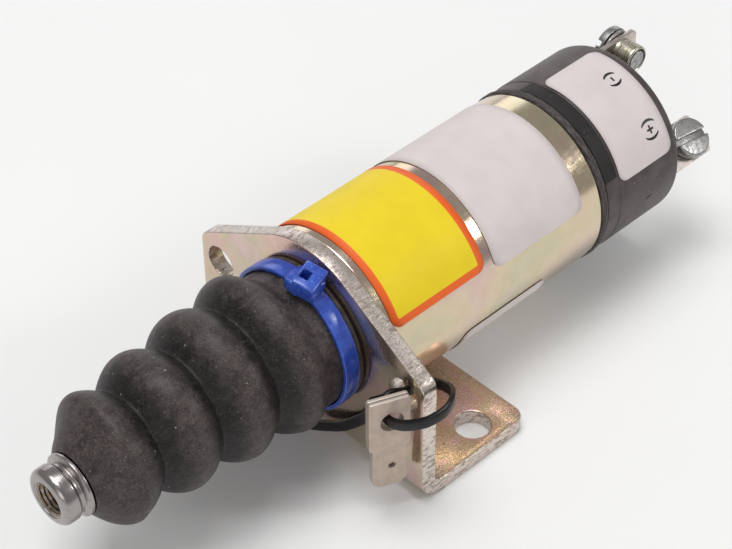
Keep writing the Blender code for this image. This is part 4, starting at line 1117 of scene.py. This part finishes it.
def polarity_signs():
    """A minus and a plus sign, each in round brackets, printed on the cap's label."""
    radius = LABELS["polarity_label"][4] + LABEL_GAP + LABEL_THICK + 0.01
    half_stroke = 0.22
    strokes = []

    def bar(x, along, half_x, half_along):
        sides = ((-half_x, -half_along), (half_x, -half_along), (half_x, half_along), (-half_x, half_along))
        strokes.append([(x + dx, along + dy) for dx, dy in sides])

    for turn, x, size, plus in SIGNS:
        middle = turn * radius
        bar(x, middle, half_stroke, size * (0.75 if plus else 0.55))
        if plus:
            bar(x, middle, size * 0.75, half_stroke)
        for side in (1, -1):
            outer, inner = [], []
            for i in range(13):
                bend = math.radians(-48 + 96 * i / 12)
                thick = 0.32 + 0.26 * math.cos(bend * 1.6)
                reach = size * (2.1 * math.cos(bend) - 0.25)
                outer.append((x + size * 2.1 * math.sin(bend), middle + side * reach))
                inner.append((x + size * 2.1 * math.sin(bend), middle + side * (reach - thick)))
            strokes.append(outer + inner[::-1])
    meshes = []
    for stroke in strokes:
        flat = flat_mesh("sign", [stroke], 0.03)
        for vertex in flat.vertices:
            x, along, out = vertex.co
            turn = along / radius
            vertex.co = (x, -(radius + out) * math.sin(turn), (radius + out) * math.cos(turn))
        meshes.append(flat)
    return finished("polarity_signs", joined(*meshes), "sign_ink")


def threaded_mesh(name, bottom, top, radius, pitch, depth, steps=48):
    """A threaded rod along Z, between two heights, as a helical surface with closed ends."""
    rings = int((top - bottom) / pitch * 8)
    verts = []
    for k in range(rings + 1):
        z = bottom + (top - bottom) * k / rings
        for i in range(steps):
            turn = 2 * math.pi * i / steps
            wave = ((z / pitch - turn / (2 * math.pi)) % 1.0) * 2 - 1
            fade = min(1.0, (z - bottom) / 0.5 + 0.2)
            r = (radius - depth * abs(wave)) * (0.9 + 0.1 * fade)
            verts.append((r * math.cos(turn), r * math.sin(turn), z))
    faces = [tuple(range(steps))[::-1], tuple(range(rings * steps, (rings + 1) * steps))]
    for k in range(rings):
        faces += band(k * steps, (k + 1) * steps, steps)
    return mesh_of(name, verts, faces)


def threaded_bush():
    """The barrel pressed into a tab, with a thread round it and a chamfered end."""
    bottom, top, bore, radius = BUSH
    pitch, groove = BUSH_THREAD
    ring = [(bottom, radius - 0.45), (bottom + 0.3, radius - 0.05)]
    for turn in range(6):
        start = bottom + 0.45 + turn * pitch
        ring += [(start, radius), (start + pitch * 0.3, radius), (start + pitch * 0.65, radius - groove)]
    ring += [(top - 0.3, radius), (top, radius), (top, bore), (bottom + 0.3, bore), (bottom, bore + 0.25)]
    return turned_mesh("bush", ring, 72)


def terminal(name):
    """A tab with its bush, the slotted screw with its thread, and the washer between them."""
    _, seat, offset, centre = TERMINALS[name]
    root, end, width, thick = TAB
    half = width / 2
    edge = [
        (root, -centre - half, 0),
        (end, -centre - half, TAB_CORNER),
        (end, -centre + half, TAB_CORNER),
        (root, -centre + half, 0),
    ]
    place = tab_frame(name)
    level = Matrix.Translation((0, 0, seat - thick / 2))
    outlines = [filleted(edge, 8), circle(SCREW_X, -offset, BUSH[2])]
    tab = softened(flat_mesh("tab", outlines, thick, level), 0.14, 2)
    base = Matrix.Translation((SCREW_X, -offset, seat))
    stand = base @ UPRIGHT
    bush = threaded_bush()
    bush.transform(stand)
    tab_obj = finished(f"tab_{name}", joined(tab, bush), "tinned_metal", place, 30)

    back = place.inverted()
    marked(tab_obj, "barrel", lambda centre, normal: (back @ centre).z < seat - TAB[3] - 0.05)

    washer = ring_mesh("washer", WASHER, (0.15, 0.15, 0.05, 0.05), 3, 64)
    washer.transform(stand)
    split = base @ Matrix.Translation((3.4, 0, 0.5)) @ Matrix.Rotation(0.4, 4, "Y")
    washer = carved(washer, ("DIFFERENCE", block_mesh("split", (0.5, 3.0, 3.0), split, 0.05, 1)))
    washer_obj = finished(f"washer_{name}", washer, "screw_zinc", place)

    bottom, top, inner, radius = SCREW_HEAD
    ring = [(bottom, inner, 0), (bottom, radius, 0.2), (top, radius, 0.55), (top, 0, 0), (bottom, 0, 0)]
    head = turned_mesh("head", filleted(ring, 6), 96)
    head.transform(stand)
    slot = base @ Matrix.Translation((0, 0, top)) @ Matrix.Rotation(SLOT_TURN[name], 4, "Z")
    head = softened(carved(head, ("DIFFERENCE", block_mesh("slot", SCREW_SLOT, slot, 0.08, 1))), 0.09, 2, 55)
    shank = threaded_mesh("shank", *SCREW_SHANK, *SCREW_THREAD)
    shank.transform(base)
    screw_obj = finished(f"screw_{name}", joined(head, shank), "screw_zinc", place, 30)
    return tab_obj, washer_obj, screw_obj


def adapter(number):
    """A spade adapter: its ring end, its chamfered tab, its hole and its dimple, with punched edges."""
    ring_half, waist, tab_half, bottom, chamfer = 4.1, -12.3, 3.4, -22.4, 1.2
    right = [
        (ring_half, 0, 0.6),
        (ring_half, waist, 0.6),
        (tab_half, waist, 0),
        (tab_half, bottom + chamfer, 0.2),
        (tab_half - chamfer, bottom, 0.2),
    ]
    left = [(-x, y, radius) for x, y, radius in reversed(right)]
    outline = filleted([*reversed(right), *reversed(left)], 6)
    outlines = [outline, circle(*ADAPTER_HOLE, 48), circle(*ADAPTER_DIMPLE, 24)]
    depth = ADAPTER / 2 + number * (ADAPTER + ADAPTER_GAP)
    place = ADAPTER_PLACE @ Matrix.Translation((0, depth, 0)) @ Matrix.Rotation(math.pi / 2, 4, "X")
    mesh = softened(flat_mesh("adapter", outlines, ADAPTER), 0.12, 2)
    name = ("outer", "inner")[number]
    obj = finished(f"adapter_{name}", mesh, "dull_tin", place)
    facing = place.to_3x3() @ Vector((0, 0, 1))
    marked(obj, "sheared", lambda centre, normal: abs(normal.dot(facing)) < 0.9)
    return obj


def spline_through(points, steps):
    """A smooth line through all the points, with this many steps between each two."""
    ends = [points[0], *points, points[-1]]
    line = []
    for a, b, c, d in zip(ends, ends[1:], ends[2:], ends[3:]):
        a, b, c, d = (Vector(p) for p in (a, b, c, d))
        for i in range(steps):
            t = i / steps
            bend = (2 * a - 5 * b + 4 * c - d) * t**2 + (3 * b - a - 3 * c + d) * t**3
            line.append(0.5 * (2 * b + (c - a) * t + bend))
    line.append(Vector(points[-1]))
    return line


def strap_tree():
    """A strap of a rounded section along the curve that it is given."""
    kinds = {"Thickness": "Float", "Width": "Float", "Corner": "Float", "Material": "Material"}
    tree, size = geometry_tree("strap", kinds)
    line = size["Geometry"].node("GeometryNodeSetCurveNormal", {"mode": "Z_UP"}, {"Curve": size["Geometry"]})
    section = {"Width": size["Thickness"], "Height": size["Width"]}
    shape = line.node("GeometryNodeCurvePrimitiveQuadrilateral", None, section)
    corners = {"Curve": shape, "Radius": size["Corner"], "Count": 3}
    rounded = shape.node("GeometryNodeFilletCurve", {"mode": "POLY"}, corners)
    swept = {"Curve": line, "Profile Curve": rounded, "Fill Caps": True}
    solid = line.node("GeometryNodeCurveToMesh", None, swept)
    tree_done(tree, solid, size["Material"])
    return tree


def adapter_tie():
    """The thin black tie that hangs the adapters on the ear: its loop, its head and its hanging tail."""
    tree = strap_tree()
    thick, wide = TIE_SECTION
    sizes = {"Thickness": thick, "Width": wide, "Corner": 0.35, "Material": FINISHES["black_nylon"]}
    parts = [
        grown("tie_part", tree, sizes, curve_of("route", [spline_through(route, 8)], False))
        for route in (TIE_LOOP, TIE_TAIL)
    ]
    head = block_mesh("tie_head", (3.6, 2.4, 3.6), Matrix.Translation(TIE_HEAD) @ ADAPTER_TURN, 0.4)
    return finished("adapter_tie_band", joined(*parts, head), "black_nylon")


def spring_tree():
    """A compression spring along X with one closed turn at each end."""
    kinds = dict.fromkeys(("Front", "Rear", "Mean Radius", "Wire", "Closed Pitch"), "Float")
    kinds |= {"Turns": "Float", "Points": "Int", "Material": "Material"}
    tree, size = geometry_tree("spring", kinds)
    start = size["Front"]
    line = start.node("GeometryNodeCurvePrimitiveLine")
    line = line.node("GeometryNodeResampleCurve", None, {"Curve": line, "Count": size["Points"]})
    share = start.node("GeometryNodeSplineParameter")
    turn = share * size["Turns"]
    first = size["Front"] + size["Wire"] / 2
    last = size["Rear"] - size["Wire"] / 2
    open_turns = size["Turns"] - 2
    open_pitch = (last - first - size["Closed Pitch"] * 2) / open_turns
    before = turn.math("MINIMUM", 1.0)
    middle = (turn - 1).math("MAXIMUM", 0.0).math("MINIMUM", open_turns)
    after = (turn - 1 - open_turns).math("MAXIMUM", 0.0)
    x = first + size["Closed Pitch"] * (before + after) + open_pitch * middle
    angle = turn * (2 * math.pi)
    y = size["Mean Radius"] * angle.math("COSINE")
    z = size["Mean Radius"] * angle.math("SINE")
    place = x.node("ShaderNodeCombineXYZ", None, {0: x, 1: y, 2: z})
    line = line.node("GeometryNodeSetPosition", None, {"Geometry": line, "Position": place})
    section = {"Resolution": 10, "Radius": size["Wire"] / 2}
    section = start.node("GeometryNodeCurvePrimitiveCircle", None, section)
    swept = {"Curve": line, "Profile Curve": section, "Fill Caps": True}
    wire = line.node("GeometryNodeCurveToMesh", None, swept)
    tree_done(tree, wire, size["Material"])
    return tree


def spring(name, tree, front, rear, mean_radius, wire, turns, closed_pitch):
    sizes = {
        "Front": front,
        "Rear": rear,
        "Mean Radius": mean_radius,
        "Wire": wire,
        "Turns": turns,
        "Closed Pitch": closed_pitch,
        "Points": int(turns * 36),
        "Material": FINISHES["spring_steel"],
    }
    return finished(name, grown(name, tree, sizes), "spring_steel")


def area_light(name, place, size, power):
    data = bpy.data.lights.new(name, "AREA")
    data.shape = "RECTANGLE"
    data.size, data.size_y = size
    data.energy = power
    obj = linked(name, data)
    obj.location = place
    obj.rotation_euler = (Vector(LOOKED_AT) - Vector(place)).to_track_quat("-Z", "Y").to_euler()


def studio():
    """The pale floor, the soft lights and the camera."""
    corners = [(x * FLOOR_REACH, y * FLOOR_REACH, 0) for x, y in ((-1, -1), (1, -1), (1, 1), (-1, 1))]
    mesh = mesh_of("floor", corners, [(0, 1, 2, 3)])
    mesh.materials.append(studio_floor())
    floor = linked("floor", mesh)

    world = bpy.data.worlds.new("studio")
    bpy.context.scene.world = world
    world.use_nodes = True
    back = world.node_tree.nodes["Background"]
    back.inputs["Color"].default_value = (1, 1, 1, 1)
    back.inputs["Strength"].default_value = SKY_STRENGTH

    for name, light in LIGHTS.items():
        area_light(name, *light)

    camera_data = bpy.data.cameras.new("camera")
    camera_data.lens = CAMERA_LENS
    camera_data.sensor_width = 36.0
    camera_data.sensor_fit = "HORIZONTAL"
    camera = linked("camera", camera_data)
    turn = Matrix((CAMERA_RIGHT, CAMERA_UP, -CAMERA_AHEAD)).transposed()
    camera.matrix_world = Matrix.Translation(CAMERA_PLACE) @ turn.to_4x4()
    bpy.context.scene.camera = camera
    bpy.context.scene.view_settings.view_transform = "Standard"


FINISHES = {
    "bracket_plating": zinc_plating("bracket_plating", False),
    "can_plating": zinc_plating("can_plating", True),
    "boot_rubber": boot_rubber(),
    "gasket_rubber": gasket_rubber(),
    "black_moulding": black_moulding(),
    "blue_nylon": coloured_nylon(
        "blue_nylon", (0.022, 0.060, 0.40), (0.032, 0.105, 0.55), 0.16, (-3.9, -4.4, 18.4), 0.9
    ),
    "black_nylon": coloured_nylon(
        "black_nylon", (0.005, 0.004, 0.004), (0.010, 0.008, 0.008), 0.24, None, 0.32
    ),
    "natural_nylon": coloured_nylon("natural_nylon", (0.60, 0.57, 0.48), (0.72, 0.70, 0.62), 0.42),
    "bright_nickel": bright_nickel(),
    "tinned_metal": tinned_metal(),
    "screw_zinc": screw_zinc(),
    "dull_tin": dull_tin(),
    "iron": turned_metal("iron", (0.50, 0.49, 0.48), (0.32, 0.30, 0.28), 0.32),
    "brass": turned_metal("brass", (0.80, 0.62, 0.28), (0.52, 0.38, 0.16), 0.25),
    "spring_steel": turned_metal("spring_steel", (0.58, 0.58, 0.60), (0.38, 0.37, 0.37), 0.25),
    "copper_wire": wound_copper(),
    "front_label": sticker(
        "front_label", (0.87, 0.66, 0.012), (0.87, 0.14, 0.02), 1.6, label_size("front_label")
    ),
    "rear_label": sticker("rear_label", (0.71, 0.635, 0.62)),
    "under_label": sticker("under_label", (0.71, 0.64, 0.62)),
    "polarity_label": sticker("polarity_label", (0.71, 0.635, 0.63)),
    "sign_ink": sign_ink(),
}

INNER_FINISHES = {
    "iron": ("front_pole", "boot_collar", "rear_pole", "plunger_core"),
    "brass": ("guide_tube", "fixed_contact_1", "fixed_contact_2"),
    "natural_nylon": ("bobbin", "switch_board", "push_pin"),
    "copper_wire": ("pull_winding", "hold_winding", "contact_bridge"),
}


def stands_for(piece, slot, *nodes, body="housing"):
    """The piece rides on its body and hides the nodes that it replaces; its slot is not used."""
    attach(piece, body)
    if nodes:
        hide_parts(*nodes)


studio()
for finish, nodes in INNER_FINISHES.items():
    for node in nodes:
        painted(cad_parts[node].data, finish)

stands_for(bracket(), "yellow_zinc_plating", "mounting_bracket")
stands_for(can(), "yellow_zinc_plating", "housing_can")
stands_for(gasket(), "gasket_rubber", "cap_gasket")
stands_for(cap(), "black_moulding", "end_cap")
stands_for(tip(), "bright_nickel", "plunger_tip", body="plunger")
stands_for(boot_tie(), "blue_nylon", "boot_tie")
for name, slot in (
    ("front_label", "yellow_label"),
    ("rear_label", "white_label"),
    ("under_label", "white_label"),
    ("polarity_label", "white_label"),
):
    stands_for(label(name), slot, name)
stands_for(polarity_signs(), "white_label")
for name in TERMINALS:
    tab, washer, screw = terminal(name)
    stands_for(tab, "tinned_metal", f"terminal_{name}")
    stands_for(washer, "tinned_metal", f"lock_washer_{name}")
    stands_for(screw, "tinned_metal", f"terminal_screw_{name}")
stands_for(adapter(0), "tinned_metal", "spade_adapter_outer")
stands_for(adapter(1), "tinned_metal", "spade_adapter_inner")
stands_for(adapter_tie(), "black_nylon", "adapter_tie")

bellows = boot()
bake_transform(bellows)
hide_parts("boot")
coil = spring_tree()
return_spring = spring("return_coil", coil, *RETURN_COIL)
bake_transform(return_spring)
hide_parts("return_spring")
contact_spring = spring("contact_coil", coil, *CONTACT_COIL)
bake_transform(contact_spring)
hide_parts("contact_spring")
